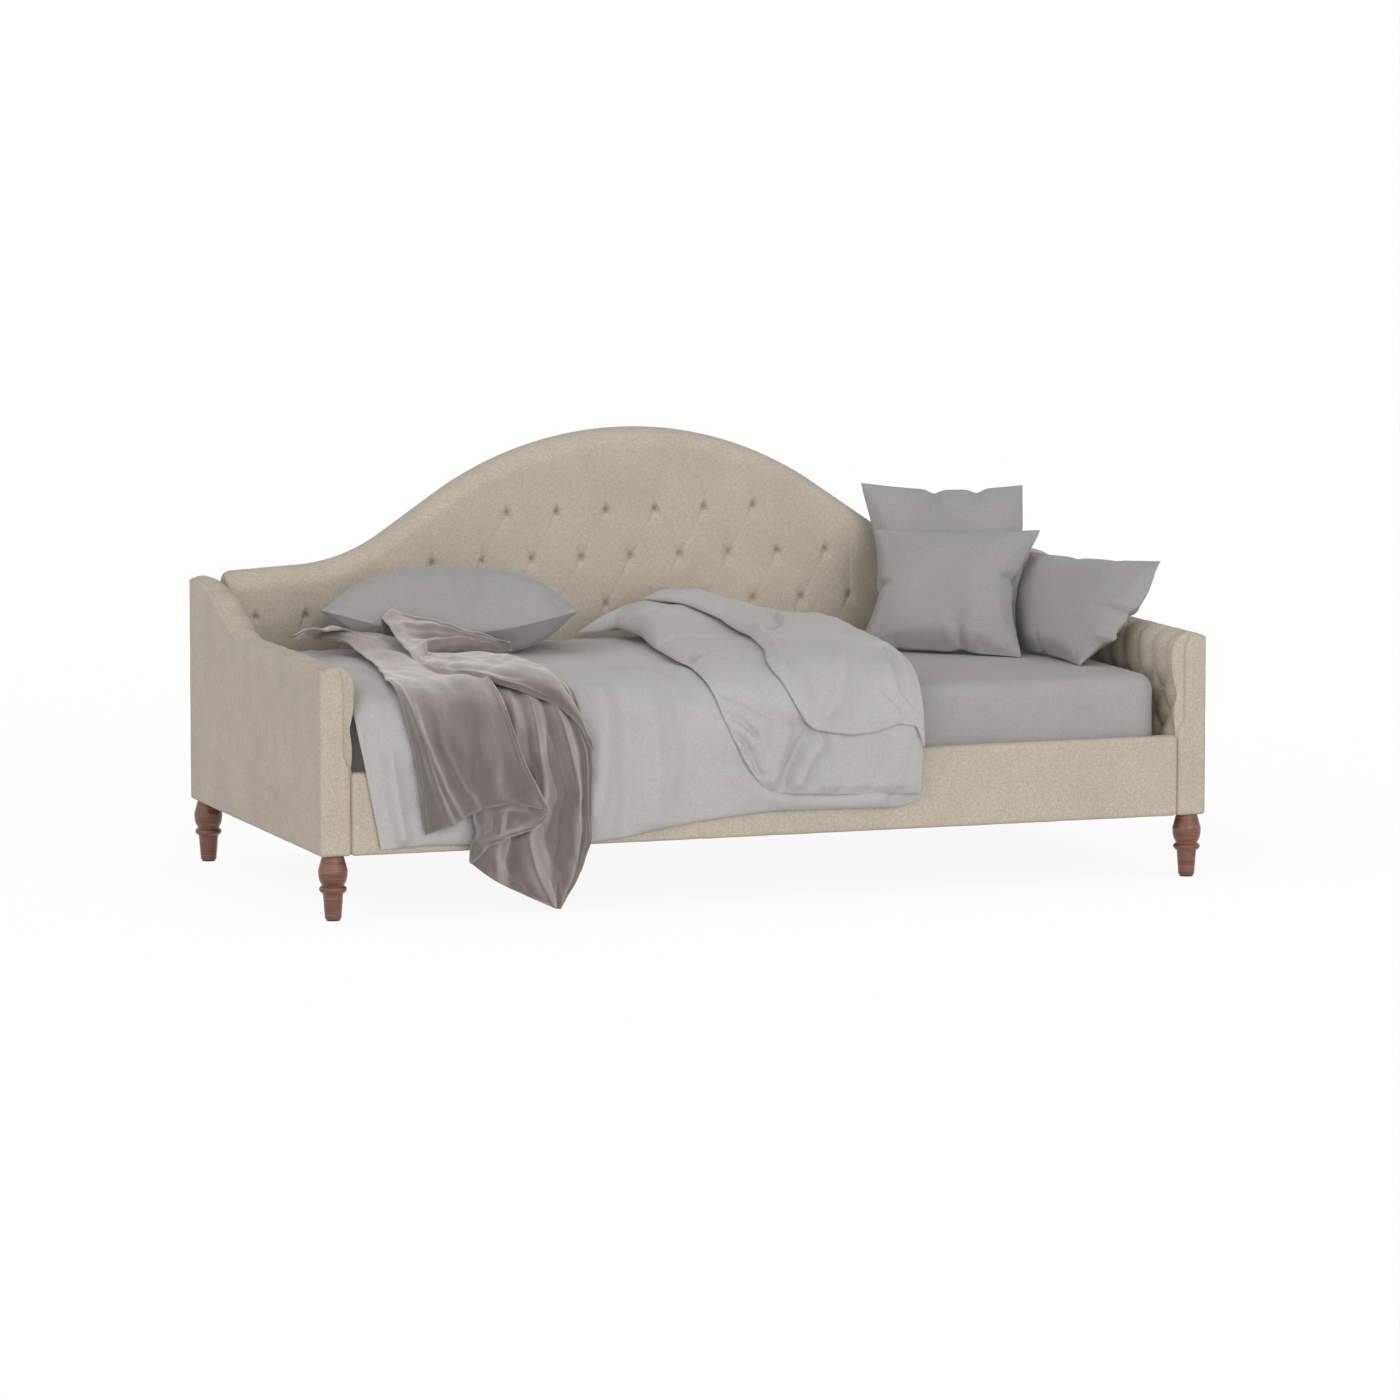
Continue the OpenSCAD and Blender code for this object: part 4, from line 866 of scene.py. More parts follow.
def eased(count, ease):
    """Numbers from 0 to 1 that crowd at both ends, the more so the nearer ease is to 1."""
    t = np.linspace(0, 1, count)
    return t * (1 - ease) + ease * (1 - np.cos(math.pi * t)) / 2


def smooth_line(points, count, ease=0.0):
    """A smooth line of evenly spread points through a few."""
    points = np.asarray(points, dtype=float)
    length = run_length(points)
    fine = np.linspace(0, length[-1], 400)
    line = np.stack([np.interp(fine, length, points[:, k]) for k in range(points.shape[1])], axis=-1)
    for _ in range(60):
        line[1:-1] = (line[:-2] + 2 * line[1:-1] + line[2:]) / 4
    length = run_length(line)
    at = eased(count, ease) * length[-1]
    return np.stack([np.interp(at, length, line[:, k]) for k in range(line.shape[1])], axis=-1)


def patch(left, right, rear, hem, wide, long, ease=0.6):
    """A grid spanned between four edges that meet at their ends."""
    left, right = smooth_line(left, long, ease), smooth_line(right, long, ease)
    rear, hem = smooth_line(rear, wide, ease), smooth_line(hem, wide, ease)
    u, v = eased(wide, ease)[:, None, None], eased(long, ease)[None, :, None]
    corners = (1 - u) * (1 - v) * rear[0] + u * (1 - v) * rear[-1] + (1 - u) * v * hem[0] + u * v * hem[-1]
    return (1 - u) * left[None] + u * right[None] + (1 - v) * rear[:, None] + v * hem[:, None] - corners


def lens(name, upper, lower):
    """A closed skin of two grids that share their border."""
    wide, long = upper.shape[:2]
    index = np.arange(wide * long).reshape(wide, long)
    under = index.copy()
    under[1:-1, 1:-1] = wide * long + np.arange((wide - 2) * (long - 2)).reshape(wide - 2, long - 2)
    points = np.concatenate([upper.reshape(-1, 3), lower[1:-1, 1:-1].reshape(-1, 3)])
    faces = []
    for (grid, order) in ((index, 1), (under, -1)):
        quads = np.stack([grid[:-1, :-1], grid[1:, :-1], grid[1:, 1:], grid[:-1, 1:]], axis=-1)
        faces += quads.reshape(-1, 4)[:, ::order].tolist()
    return new_object(name, points.tolist(), faces)


def edge_distance(grid):
    """Distance of each place of a patch from its nearest side, along the cloth."""
    steps = [np.linalg.norm(np.diff(grid[..., :2], axis=0, prepend=grid[:1, :, :2]), axis=-1),
             np.linalg.norm(np.diff(grid[..., :2], axis=1, prepend=grid[:, :1, :2]), axis=-1)]
    across, along = np.cumsum(steps[0], axis=0), np.cumsum(steps[1], axis=1)
    return np.minimum(across, across[-1:] - across), np.minimum(along, along[:, -1:] - along)


def ripples(grid, scale, seed):
    """Soft random swelling between -1 and 1 over a patch."""
    places = grid.reshape(-1, grid.shape[-1]).tolist()
    flat = [noise.noise(Vector((p[0] / scale[0], p[1] / scale[1], seed))) for p in places]
    return np.array(flat).reshape(grid.shape[:2])


def settle(grid, lying_value, hanging_value, start=0.06, run=0.22):
    """From one value on the bed to another before its front."""
    t = smooth((grid[..., 1] - (lying(bend_y) - start)) / run)
    return lying_value + (hanging_value - lying_value) * t


def creased(grid, lines):
    """Height added by soft ridges and valleys, in mm: each a width, a height and its places."""
    total = np.zeros(grid.shape[:2])
    for (wide, tall, *places) in lines:
        line = np.array(along_bed(*places))
        near = np.full(total.shape, 1e9)
        for (p, q) in zip(line[:-1], line[1:]):
            share = np.clip(((grid[..., :2] - p) @ (q - p)) / ((q - p) @ (q - p)), 0, 1)
            near = np.minimum(near, np.linalg.norm(grid[..., :2] - p - share[..., None] * (q - p), axis=-1))
        total += tall / 1000 * np.exp(-(near * 1000 / wide) ** 2)
    return total


def puffy_layer(name, grid, low, tall, folds, seed):
    """A layer of filled cloth over a patch, from low to low + tall, with round sides."""
    edge_r, seam_r = 0.045, 0.07
    broad, middling, fine, crisp = 0.006, 0.003, 0.0012, 0.0090
    across, along = edge_distance(grid)
    full = 1.0
    for distance in (across, along):
        full = full * np.sqrt(1 - (1 - np.clip(distance / edge_r, 0, 1)) ** 2)
    wave = broad * ripples(grid, (0.16, 0.30), seed) + middling * ripples(grid, (0.06, 0.12), seed + 9)
    wave += fine * ripples(grid, (0.022, 0.050), seed + 17) + folds
    # Crisp small creases, strongest near the sides, where the cloth is gathered into its seams
    gathered = 0.3 + np.exp(-np.minimum(across, along) / seam_r)
    wave += gathered * crisp * (np.abs(ripples(grid, (0.045, 0.100), seed + 5)) ** 0.8 - 0.4)
    rim = low + 0.3 * tall
    upper = rim + np.maximum(0.7 * tall + wave, -0.05 * tall) * full
    lower = rim - 0.3 * tall * full
    skins = [over_bed(np.concatenate([grid, side[..., None]], axis=-1)) for side in (upper, lower)]
    return lens(name, *skins)


duvet_low, duvet_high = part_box("duvet")
duvet_x, rear = 1000 * duvet_low[0], 1000 * duvet_high[1]
base = patch(
    left=along_bed([(duvet_x, rear), (duvet_x, -300)], [(-966, 410), (-916, 156)]),
    right=along_bed([(160, rear), (250, 240), (300, 50), (310, -300)], [(340, 400), (350, 260),
     (348, 212)]),
    rear=along_bed([(duvet_x, rear), (160, rear)]),
    hem=along_bed([], [(-916, 156), (-808, 161), (-647, 155), (-415, 149), (-181, 185), (-15, 200),
     (201, 197), (300, 194), (348, 212)]),
    wide=190, long=150)
fold = patch(
    left=along_bed([(-188, 307), (-106, 291), (-91, 143), (-148, -266), (-155, -420)], [(-127, 412),
     (-94, 348), (-66, 296), (-30, 250)]),
    right=along_bed([(300, 290), (350, 150), (345, -140), (345, -400)], [(350, 400), (344, 226)]),
    rear=along_bed([(-188, 307), (0, 343), (180, 343), (300, 290)]),
    hem=along_bed([], [(-30, 250), (38, 237), (179, 231), (344, 226)]),
    wide=110, long=150)
flap = patch(
    left=along_bed([(-16, 340), (45, 250), (85, 90), (80, -120), (45, -310)], [(4, 458), (36, 426),
     (68, 383), (90, 374)]),
    right=along_bed([(300, 275), (347, 130), (340, -140), (337, -400)], [(344, 445), (345, 330)]),
    rear=along_bed([(-16, 340), (100, 350), (200, 330), (300, 275)]),
    hem=along_bed([], [(90, 374), (116, 370), (170, 363), (223, 366), (290, 380), (326, 374), (345, 330)]),
    wide=90, long=140)


def heaped(grid, tall, reach=0.30):
    """How far the turned-back layers stand up at the rear, near the fold's tip."""
    y = bed_line[0, 0] - grid[..., 1]
    return tall * smooth((y + 0.05) / 0.35) * smooth((0.30 - grid[..., 0]) / reach)


def drooping(grid, depth):
    """How far the layers sink at their rear right corner, where nothing is under them."""
    y = bed_line[0, 0] - grid[..., 1]
    return depth * smooth(1 - np.hypot(grid[..., 0] - 0.33, y - 0.31) / 0.24)


base_folds = creased(base, [
    (18, -20, [], [(-935, 400), (-925, 300), (-900, 170)]), (16, 17, [], [(-900, 360), (-872, 180)]),
    (24, 17, [], [(-400, 450), (-405, 340), (-420, 220)]),
    (18, -17, [], [(-345, 420), (-345, 300), (-350, 160)]),
    (24, 14, [], [(-290, 430), (-275, 300), (-280, 190)]),
    (22, -14, [], [(-225, 450), (-200, 330), (-215, 220)]),
    (16, -12, [(-300, -200), (-230, -330)], [(-190, 450)]),
    (12, -9, [(-420, 20), (-330, -40), (-250, 0)], []),
    (14, -12, [(-340, 200), (-260, 100), (-180, 80)], []),
    (20, 12, [], [(-100, 280), (20, 215), (250, 210)])])
fold_folds = creased(fold, [
    (9, -29, [], [(75, 375), (44, 339), (18, 284), (8, 244)]),
    (14, 20, [], [(100, 350), (66, 310), (46, 262)]), (14, 17, [], [(20, 380), (-5, 320), (-20, 270)]),
    (6, -17, [], [(-128, 412), (-85, 400), (-50, 370)]),
    (6, -17, [], [(-112, 375), (-80, 360), (-62, 330)]),
    (8, -14, [], [(-145, 445), (-80, 430), (0, 400), (60, 395)]),
    (7, -17, [], [(-85, 330), (-60, 320), (-45, 290)]),
    (10, -14, [(-150, -350), (-90, -250), (-20, -220)], []),
    (10, -12, [(-110, -50), (-40, -20), (30, -60)], []),
    (6, -14, [(-150, 240), (-100, 250), (-40, 200)], []), (12, -8, [], [(142, 232), (156, 258)]),
    (12, -8, [], [(212, 230), (228, 262)]), (12, -8, [], [(290, 228), (302, 256)]),
    (16, 12, [], [(110, 255), (300, 250)])])
flap_folds = creased(flap, [
    (24, -14, [(290, -380)], [(230, 440), (190, 400)]), (14, 14, [(200, -400)], [(150, 430), (110, 400)]),
    (8, -14, [], [(300, 385), (290, 410), (260, 430)]), (10, -12, [(300, -360)], [(300, 430), (345, 400)]),
    (11, 12, [(100, -100), (70, -300)], [(30, 450)]), (10, -12, [(120, -150), (180, -50), (220, 100)], [])])
far = {"start": 0.45, "run": 0.60}
fold_heap = heaped(fold, 0.024) * np.clip((fold[..., 0] + 0.20) / 0.16, 0, 1)
fold_low = settle(fold, 0.046, 0.018) + fold_heap - drooping(fold, 0.040)
fold_tall = settle(fold, 0.034, 0.017, **far) + fold_heap
flap_low = settle(flap, 0.046, 0.018) + settle(flap, 0.036, 0.018, **far)
flap_low = flap_low + heaped(flap, 0.038, 0.20) - drooping(flap, 0.062)
flap_tall = settle(flap, 0.032, 0.016, **far)
base_low, base_tall = settle(base, 0.0006, 0.0), settle(base, 0.044, 0.017)
layers = [puffy_layer("duvet_base", base, base_low, base_tall, base_folds, 1.0),
          puffy_layer("duvet_fold", fold, fold_low, fold_tall, fold_folds, 2.0),
          puffy_layer("duvet_flap", flap, flap_low, flap_tall, flap_folds, 3.0)]
pale_cotton = cotton("light_grey_brushed_cotton", "#bdbcba")
for layer in layers:
    finish(layer, pale_cotton, "duvet_cover", "duvet", angle=70)


# ---- Throw ----
# A velvet throw is gathered over the bed near the pillow. Its first part lies flat and
# hangs down the front; the rest is bunched up, rolls over with a round lip and hangs
# behind in long folds, down to a corner whose hem curls forward.

def loft(rails, wide, long):
    """A grid through rails that run along the cloth, smooth both ways."""
    lines = np.array([smooth_line(along_bed(*rail), long) for rail in rails])
    at = np.linspace(0, len(lines) - 1, wide)
    k = np.clip(at.astype(int), 0, len(lines) - 2)
    t = (at - k)[:, None, None]
    before, a, b, after = (lines[np.clip(k + step, 0, len(lines) - 1)] for step in (-1, 0, 1, 2))
    return (2 * a + (b - before) * t + (2 * before - 5 * a + 4 * b - after) * t ** 2
            + (3 * a - before - 3 * b + after) * t ** 3) / 2


def add_folds(grid, folds):
    """Raises folds: where each starts and ends across, its width, height, start and end along."""
    u = np.linspace(0, 1, grid.shape[0])[:, None]
    v = np.linspace(0, 1, grid.shape[1])[None, :]
    by_side = np.clip(np.minimum(u, 1 - u) / 0.03, 0.3, 1)
    for (u0, u1, wide, tall, v0, v1) in folds:
        t = np.clip((v - v0) / (v1 - v0), 0, 1)
        middle = u0 + (u1 - u0) * t + 0.015 * np.sin(9 * v + 7 * u0)
        fade = np.sin(math.pi * np.clip((v - v0 + 0.06) / (v1 - v0 + 0.12), 0, 1)) ** 0.6
        grid[..., 2] += tall * fade * np.exp(-((u - middle) / wide) ** 2) * by_side


def thin_cloth(name, grid, thickness=0.003, edge_r=0.004):
    """Closed thin cloth with a rolled hem about a grid of (x, length, height) places."""
    middle = over_bed(grid)
    out = np.cross(np.gradient(middle, axis=0), np.gradient(middle, axis=1))
    out /= np.maximum(np.linalg.norm(out, axis=-1), 1e-9)[..., None]
    side = np.minimum(*edge_distance(middle))
    full = np.sqrt(1 - (1 - np.clip(side / edge_r, 0, 1)) ** 2)
    hem = 0.9 * np.exp(-((side - 0.005) / 0.003) ** 2)
    half = out * (full + hem)[..., None] * thickness / 2
    return lens(name, middle + half, middle - half)


velvet, tree, shader, place = new_material("taupe_crushed_velvet")
# Pile in soft patches of 60 mm, brushed in streaks of 6 mm, with a fine nap of 2 mm
pile = add(tree, "TexNoise", {"Vector": place, "Scale": 16.0, "Detail": 2.0, "Roughness": 0.45})
run = add(tree, "Mapping", {"Vector": place, "Scale": (160.0, 160.0, 30.0)})
brushed = add(tree, "TexNoise", {"Vector": run, "Scale": 1.0, "Detail": 3.0})
nap = add(tree, "TexNoise", {"Vector": place, "Scale": 500.0, "Detail": 1.0})
streaks = add(tree, "Math", {0: brushed, 1: 0.05}, operation="MULTIPLY")
crushed = add(tree, "Math", {0: pile, 1: streaks}, operation="ADD")
crush = add(tree, "Bump", {"Height": crushed, "Strength": 0.50, "Distance": 0.009})
# Painted sheen: the base colour turns from the dark face to a pale tint where the pile is seen from the side
glance = add(tree, "LayerWeight", {"Blend": 0.5, "Normal": crush}).outputs["Facing"]
painted_sheen_share = add(tree, "Math", {0: glance, 1: 0.95}, operation="POWER")
# dark is the pile's own colour; light is the pale tint of the painted sheen
dark, light = [tinted(tree, colour, (pile, 0.90, 1.10), (brushed, 0.95, 1.05), (nap, 0.93, 1.07))
               for colour in ("#655c58", "#d9d0cb")]
feed(tree, shader, {
    "Base Color": add(tree, "MixRGB", {"Fac": painted_sheen_share, "Color1": dark, "Color2": light}),
    "Normal": crush, "Roughness": 0.45, "Specular IOR Level": 0.5,
    "Sheen Weight": 0.7, "Sheen Roughness": 0.32, "Sheen Tint": paint("#f4ece8")})

main_part = loft([
    ([(-939, 120, 95), (-857, 184, 85), (-800, 127, 75), (-793, 40, 65), (-812, -130, 53.5),
     (-872, -400, 53)], [(-869, 445, 48), (-866, 428, 42), (-850, 376, 34), (-836, 298, 31),
     (-822, 186, 31)]),
    ([(-924, 120, 103), (-834, 200, 97), (-774, 110, 79), (-761, 14, 68), (-768, -120, 56),
     (-822, -400, 56)], [(-815, 445, 50), (-808, 420, 44), (-795, 360, 38), (-778, 290, 36),
     (-752, 212, 34)]),
    ([(-907, 120, 111), (-804, 206, 105), (-739, 90, 87), (-716, -26, 72), (-715, -140, 58),
     (-755, -400, 57)], [(-745, 445, 52), (-735, 420, 48), (-725, 360, 44), (-715, 300, 42),
     (-685, 240, 40)]),
    ([(-894, 118, 114), (-779, 190, 102), (-700, 50, 86), (-675, -50, 68), (-675, -160, 60),
     (-700, -400, 58)], [(-690, 445, 54), (-680, 420, 52), (-665, 360, 50), (-645, 300, 50),
     (-612, 244, 50)]),
    ([(-884, 116, 114), (-750, 170, 94), (-660, 30, 78), (-635, -60, 64), (-645, -180, 58),
     (-655, -400, 58)], [(-647, 450, 54), (-637, 436, 52), (-622, 395, 52), (-600, 336, 52),
     (-541, 229, 52)])
], 120, 260)
add_folds(main_part, [
    (0.06, 0.20, 0.030, 0.0085, 0.72, 1.0), (0.13, 0.30, 0.026, 0.0070, 0.80, 1.0),
    (0.30, 0.44, 0.030, 0.0045, 0.84, 0.97), (0.96, 0.96, 0.030, 0.0080, 0.62, 0.98),
    (0.52, 0.62, 0.090, -0.0060, 0.50, 0.80), (0.62, 0.85, 0.050, 0.0060, 0.20, 0.50),
    (0.25, 0.45, 0.060, 0.0050, 0.20, 0.52)])
aslant = np.array([[0.92, 0.39, 0.0], [-0.39, 0.92, 0.0], [0.0, 0.0, 1.0]])
main_part[..., 2] += 0.0110 * ripples(main_part @ aslant, (0.050, 0.16), 31.0)
main_part[..., 2] += 0.0022 * ripples(main_part, (0.026, 0.06), 32.0)

bunch_part = loft([
    ([(-730, -150, 55), (-650, 0, 58), (-590, 0, 60), (-530, 10, 58), (-480, 10, 56), (-450, 5, 56)],),
    ([(-728, -156, 64), (-666, -46, 76), (-609, -40, 84), (-535, -8, 75), (-484, 0, 66), (-446, 10, 60)],),
    ([(-730, -20, 104), (-695, 30, 116), (-628, 6, 110), (-550, 6, 95), (-492, 0, 80), (-448, 4, 66)],),
    ([(-727, 92, 134), (-708, 90, 153), (-650, 66, 138), (-560, 34, 112), (-500, 12, 93), (-452, -6, 74)],),
    ([(-722, 104, 90), (-690, 98, 80), (-640, 80, 70), (-560, 55, 60), (-500, 40, 56), (-450, 20, 56)],)
], 90, 150)
add_folds(bunch_part, [
    (0.33, 0.30, 0.030, 0.0100, 0.10, 0.95), (0.44, 0.40, 0.030, -0.0100, 0.15, 0.95),
    (0.55, 0.52, 0.035, 0.0080, 0.05, 0.90), (0.66, 0.62, 0.030, -0.0070, 0.20, 0.80)])
bunch_part[..., 2] += 0.0060 * ripples(bunch_part, (0.040, 0.045), 37.0)

lip_part = loft([
    ([(-705, -60, 52), (-700, -180, 52), (-660, -330, 52), (-600, -420, 50)], [(-540, 452, 44),
     (-490, 432, 36), (-455, 395, 30), (-442, 358, 28)]),
    ([(-718, -110, 58), (-734, -220, 55), (-707, -385, 54)], [(-640, 457, 53), (-583, 447, 52),
     (-520, 434, 48), (-465, 405, 41), (-438, 356, 34)]),
    ([(-712, -110, 66), (-712, -222, 70), (-680, -345, 74), (-628, -430, 74)], [(-570, 454, 72),
     (-515, 441, 65), (-468, 411, 52), (-438, 360, 38)]),
    ([(-700, -70, 64), (-660, -110, 64), (-600, -190, 70), (-550, -290, 72),
     (-520, -380, 70)], [(-500, 448, 62), (-465, 418, 50), (-438, 364, 38)]),
    ([(-685, -33, 60), (-620, 10, 56), (-545, 0, 56), (-480, -80, 60), (-487, -293, 58)], [(-500, 456, 54),
     (-470, 425, 42), (-439, 368, 34)])
], 90, 200)
add_folds(lip_part, [
    (0.32, 0.34, 0.030, 0.0070, 0.02, 0.75), (0.44, 0.46, 0.040, -0.0110, 0.02, 0.62),
    (0.58, 0.62, 0.030, 0.0080, 0.04, 0.62), (0.70, 0.74, 0.035, -0.0090, 0.04, 0.66),
    (0.84, 0.84, 0.035, 0.0070, 0.05, 0.60)])
lip_part[..., 2] += 0.0045 * ripples(lip_part, (0.060, 0.045), 38.0)

side_part = loft([
    ([(-640, -330, 50)], [(-645, 457, 36), (-648, 370, 26), (-657, 271, 26), (-690, 214, 30),
     (-722, 157, 34), (-724, 124, 34)]),
    ([(-610, -340, 52)], [(-612, 455, 40), (-615, 369, 34), (-620, 270, 34), (-650, 200, 36),
     (-672, 130, 44), (-672, 83, 40)]),
    ([(-585, -350, 50)], [(-585, 454, 34), (-586, 368, 24), (-587, 268, 24), (-616, 174, 26),
     (-618, 107, 26), (-600, 46, 28)]),
    ([(-565, -350, 52)], [(-566, 453, 40), (-564, 354, 36), (-552, 267, 34), (-594, 174, 42),
     (-576, 100, 48), (-533, 14, 42)]),
    ([(-540, -340, 50)], [(-541, 451, 32), (-532, 353, 22), (-508, 264, 22), (-530, 177, 24),
     (-532, 96, 26), (-522, 10, 30)]),
    ([(-510, -320, 52)], [(-512, 439, 42), (-498, 352, 40), (-479, 264, 40), (-482, 176, 38),
     (-492, 94, 34), (-516, 9, 30)]),
    ([(-490, -290, 50)], [(-484, 418, 32), (-462, 350, 26), (-455, 262, 26), (-457, 173, 26),
     (-472, 100, 28), (-513, 8, 30)]),
    ([(-475, -250, 50)], [(-456, 410, 36), (-439, 363, 36), (-439, 218, 36), (-440, 159, 36),
     (-463, 93, 34), (-511, 8, 30)])
], 150, 220)
add_folds(side_part, [
    (0.145, 0.145, 0.040, 0.0050, 0.20, 0.50), (0.43, 0.43, 0.028, 0.0070, 0.45, 0.98),
    (0.38, 0.46, 0.030, 0.0060, 0.16, 0.45), (0.55, 0.62, 0.060, -0.0060, 0.25, 0.80),
    (0.64, 0.78, 0.030, 0.0080, 0.18, 0.62), (0.90, 0.92, 0.022, 0.0080, 0.26, 0.78),
    (0.82, 0.84, 0.026, -0.0030, 0.30, 0.80), (0.10, 0.16, 0.030, 0.0080, 0.72, 0.99),
    (0.26, 0.24, 0.030, -0.0080, 0.68, 0.99)])
side_part[..., 2] += 0.0090 * ripples(side_part @ aslant, (0.035, 0.11), 33.0)
side_part[..., 2] = np.maximum(side_part[..., 2], 0.0215)

curl_part = loft([
    ([], [(-716, 234, 38), (-662, 244, 42), (-602, 246, 48), (-545, 231, 52)]),
    ([], [(-716, 215, 40), (-662, 226, 32), (-602, 230, 38), (-546, 230, 50)]),
    ([], [(-712, 190, 46), (-664, 200, 34), (-606, 212, 36), (-547, 228, 50)]),
    ([], [(-722, 160, 40), (-680, 182, 40), (-615, 196, 42), (-546, 227, 51)]),
    ([], [(-724, 126, 38), (-690, 163, 50), (-640, 181, 56), (-576, 199, 58), (-545, 227, 53)]),
    ([], [(-718, 118, 34), (-682, 156, 46), (-632, 175, 50), (-570, 196, 52), (-546, 224, 50)])
], 80, 100)
curl_part[..., 2] += 0.0110 * ripples(curl_part, (0.030, 0.045), 35.0)

parts = (main_part, bunch_part, lip_part, side_part, curl_part)
throw = joined([thin_cloth("throw_part", part) for part in parts], "velvet_throw")
finish(throw, velvet, "throw_fabric", "throw_blanket", angle=75)
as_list(layers[:1])


# ---- Pillow and cushions ----
# Knife-edged pillows in the grey cotton, filled with feather: fat in the middle, with
# pointed corners and soft creases that run in from the seams.

def in_box(node, a, b, c):
    """The place at shares a, b and c of a CAD piece's box."""
    low, high = map(np.array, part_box(node))
    return low + (high - low) * np.array([a, b, c])


def filled(made, volume, frames=22):
    """Blows a flat sewn case up to a volume as cloth, and returns its points."""
    made.modifiers.new("filling", "CLOTH")
    cloth = made.modifiers["filling"].settings
    cloth.quality = 4
    cloth.mass = 0.25
    for name, stiffness, damping in (("tension", 30, 10), ("compression", 30, 10), ("shear", 12, 10)):
        setattr(cloth, name + "_stiffness", stiffness)
        setattr(cloth, name + "_damping", damping)
    cloth.bending_stiffness = 0.08
    cloth.air_damping = 3
    cloth.use_pressure = True
    cloth.uniform_pressure_force = 2.0
    cloth.use_pressure_volume = True
    cloth.target_volume = volume
    cloth.effector_weights.gravity = 0
    for step in range(1, frames + 1):
        bpy.context.scene.frame_set(step)
    blown = made.evaluated_get(bpy.context.evaluated_depsgraph_get()).data
    places = np.array([v.co[:] for v in blown.vertices])
    bpy.context.scene.frame_set(1)
    return places


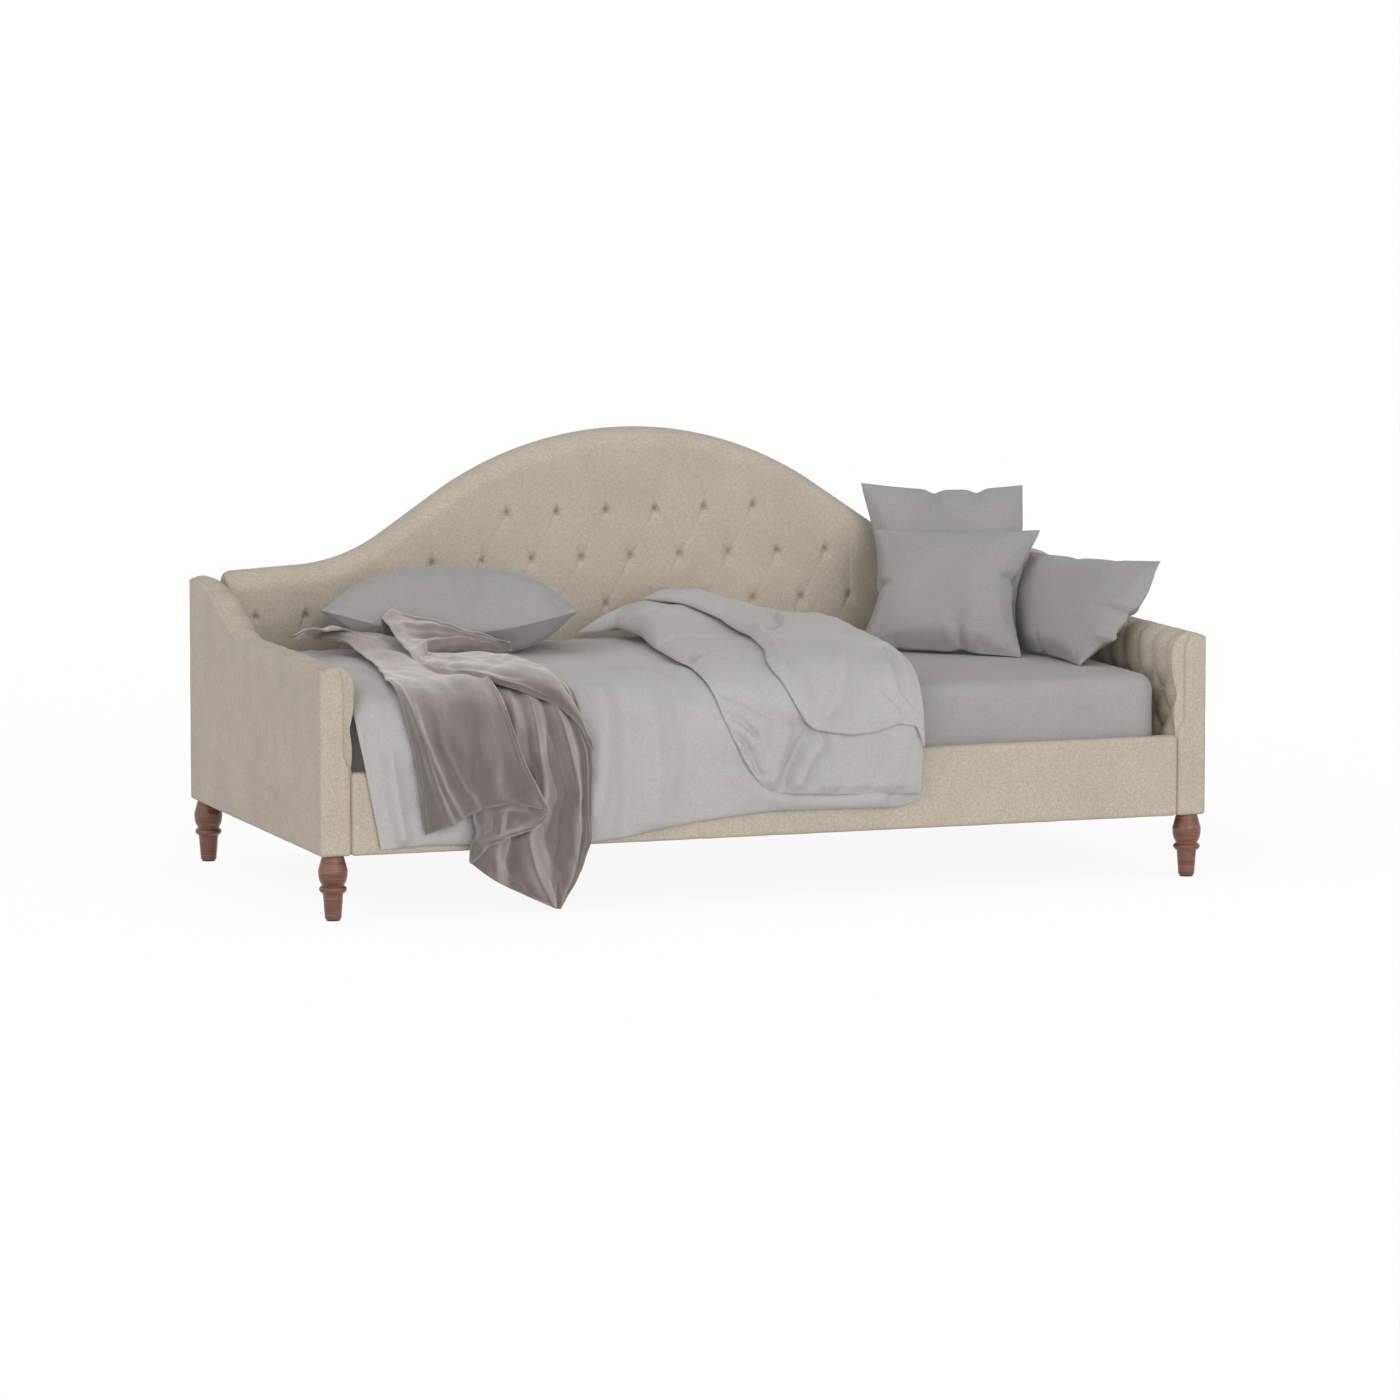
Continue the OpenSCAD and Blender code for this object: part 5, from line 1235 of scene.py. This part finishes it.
def pillow(name, corners, thick, taper, sag, waists, pinches, seed, wide=80):
    """A sewn case, filled until it is thick in the middle, and stretched to its four corners.

    Its left, right, low and high sides draw in by the waists. Each pinch is a place on
    the seam where the cloth is gathered, with how far it dips and how long its crease is.
    """
    low_left, low_right, top_left, top_right = corners
    left_side, right_side = top_left - low_left, top_right - low_right
    low_side, top_side = low_right - low_left, top_right - top_left
    turn = np.cross(left_side + right_side, low_side + top_side)
    turn /= np.linalg.norm(turn)
    half_a = (np.linalg.norm(low_side) + np.linalg.norm(top_side)) / 4
    half_b = (np.linalg.norm(left_side) + np.linalg.norm(right_side)) / 4
    u, v = np.meshgrid(np.linspace(-1, 1, wide), np.linspace(-1, 1, wide), indexing="ij")
    inside = (1 - u * u) * (1 - v * v)
    uneven = 0.0015 * ripples(np.stack([u, v], axis=-1), (0.5, 0.5), seed) * inside
    skins = [np.stack([half_a * u, half_b * v, uneven + side * (0.0006 + 0.003 * inside)], axis=-1)
             for side in (1, -1)]
    made = lens(name, *skins)
    a = np.concatenate([u.ravel(), u[1:-1, 1:-1].ravel()])
    b = np.concatenate([v.ravel(), v[1:-1, 1:-1].ravel()])
    tall = filled(made, 0.55 * 4 * half_a * half_b * thick)[:, 2]
    made.modifiers.clear()
    tall = tall * np.maximum(1 - a ** 2, 0) ** taper
    tall *= thick / (tall.max() - tall.min())
    seam_r, dip_run, valley, shoulder = 0.085, 0.22, 0.36, 0.14
    left, right, low, high = waists
    across, along = (1 - b * b) ** 1.5, (1 - a * a) ** 1.2
    new_a = a - across * np.where(a > 0, right, left) * a * np.abs(a)
    new_b = b - along * np.where(b > 0, high, low) * b * np.abs(b)
    for (pa, pb, dip, long) in pinches:
        on_side = abs(pa) == 1
        beside, inward = (b - pb, 1 - pa * a) if on_side else (a - pa, 1 - pb * b)
        drawn = dip * np.exp(-(beside / seam_r) ** 2 - inward / dip_run)
        if on_side:
            new_a = new_a - pa * drawn
        else:
            new_b = new_b - pb * drawn
        fade = np.exp(-(inward / long) ** 2)
        bent = np.abs(beside + 0.10 * inward ** 2)
        tall *= 1 - valley * fade * np.exp(-(bent / (0.020 + 0.16 * inward)) ** 2)
        tall *= 1 + shoulder * fade * np.exp(-((bent - 0.10 - 0.16 * inward) / 0.06) ** 2)
    a, b = new_a[:, None], new_b[:, None]
    flat = ((1 - a) * (1 - b) * low_left + (1 + a) * (1 - b) * low_right
            + (1 - a) * (1 + b) * top_left + (1 + a) * (1 + b) * top_right) / 4
    tall = tall - sag * along * np.clip(-b[:, 0], 0, 1) ** 2
    made.data.vertices.foreach_set("co", (flat - turn * tall[:, None]).ravel())
    made.data.update()
    return made


# Each: its name, node, corners as shares of the node's box, thickness, taper, sag, waists
# and pinches
pillows = [
    ("sleeping_pillow", "bed_pillow", [(0, 0.42, 0.58), (0.84, 0, 0.56), (0.16, 1, 0.40), (1, 0.584, 0.40)],
     0.200, 0.24, 0.050, (0.0, 0.0, 0.0, 0.0),
     [(0.16, -1, 0.02, 0.60), (-0.42, -1, 0.02, 0.30), (0.34, 1, 0.01, 0.4)]),
    ("rear_cushion", "back_cushion",
     [(0.07, 0.48, 0.003), (0.853, 0.01, 0.003), (0.146, 0.99, 1), (1, 0.52, 0.985)],
     0.098, 0.0, 0.0, (0.16, -0.02, 0.0, 0.07),
     [(-0.10, 1, 0.05, 0.34), (0.43, 1, 0.05, 0.20), (-1, -0.45, 0.08, 0.3), (1, 0.35, 0.02, 0.15)]),
    ("low_cushion", "front_cushion",
     [(-0.045, 0.72, 0.026), (0.76, 0.004, 0.003), (0.172, 0.996, 0.951), (0.996, 0.279, 0.997)],
     0.098, 0.0, 0.0, (0.15, 0.21, 0.02, 0.03),
     [(-1, 0.02, 0.05, 0.20), (1, 0.18, 0.06, 0.22), (0.26, -1, 0.05, 0.50), (0.05, 1, 0.02, 0.10),
      (-0.55, -1, 0.02, 0.10)]),
    ("end_cushion", "side_cushion",
     [(0.0, 0.918, 0.003), (0.086, 0.082, 0.003), (0.20, 1, 0.96), (0.99, 0, 1)],
     0.088, 0.0, 0.0, (-0.18, -0.22, 0.05, 0.04),
     [(1, 0.0, 0.06, 0.22), (1, -0.45, -0.17, 0.01), (-0.2, -1, 0.06, 0.25), (-0.25, 1, 0.03, 0.15),
      (0.35, 1, 0.02, 0.15)])]
# The sheet's grey cotton made a little darker for the pillow and cushions: painted shade
shaded_cushion_cotton = cotton("grey_cotton_painted_shade", "#a4a3a2")
for k, (name, node, shares, *form) in enumerate(pillows):
    made = pillow(name, [in_box(node, *share) for share in shares], *form, 20.0 + k)
    finish(made, shaded_cushion_cotton, "sheet", node, angle=80)
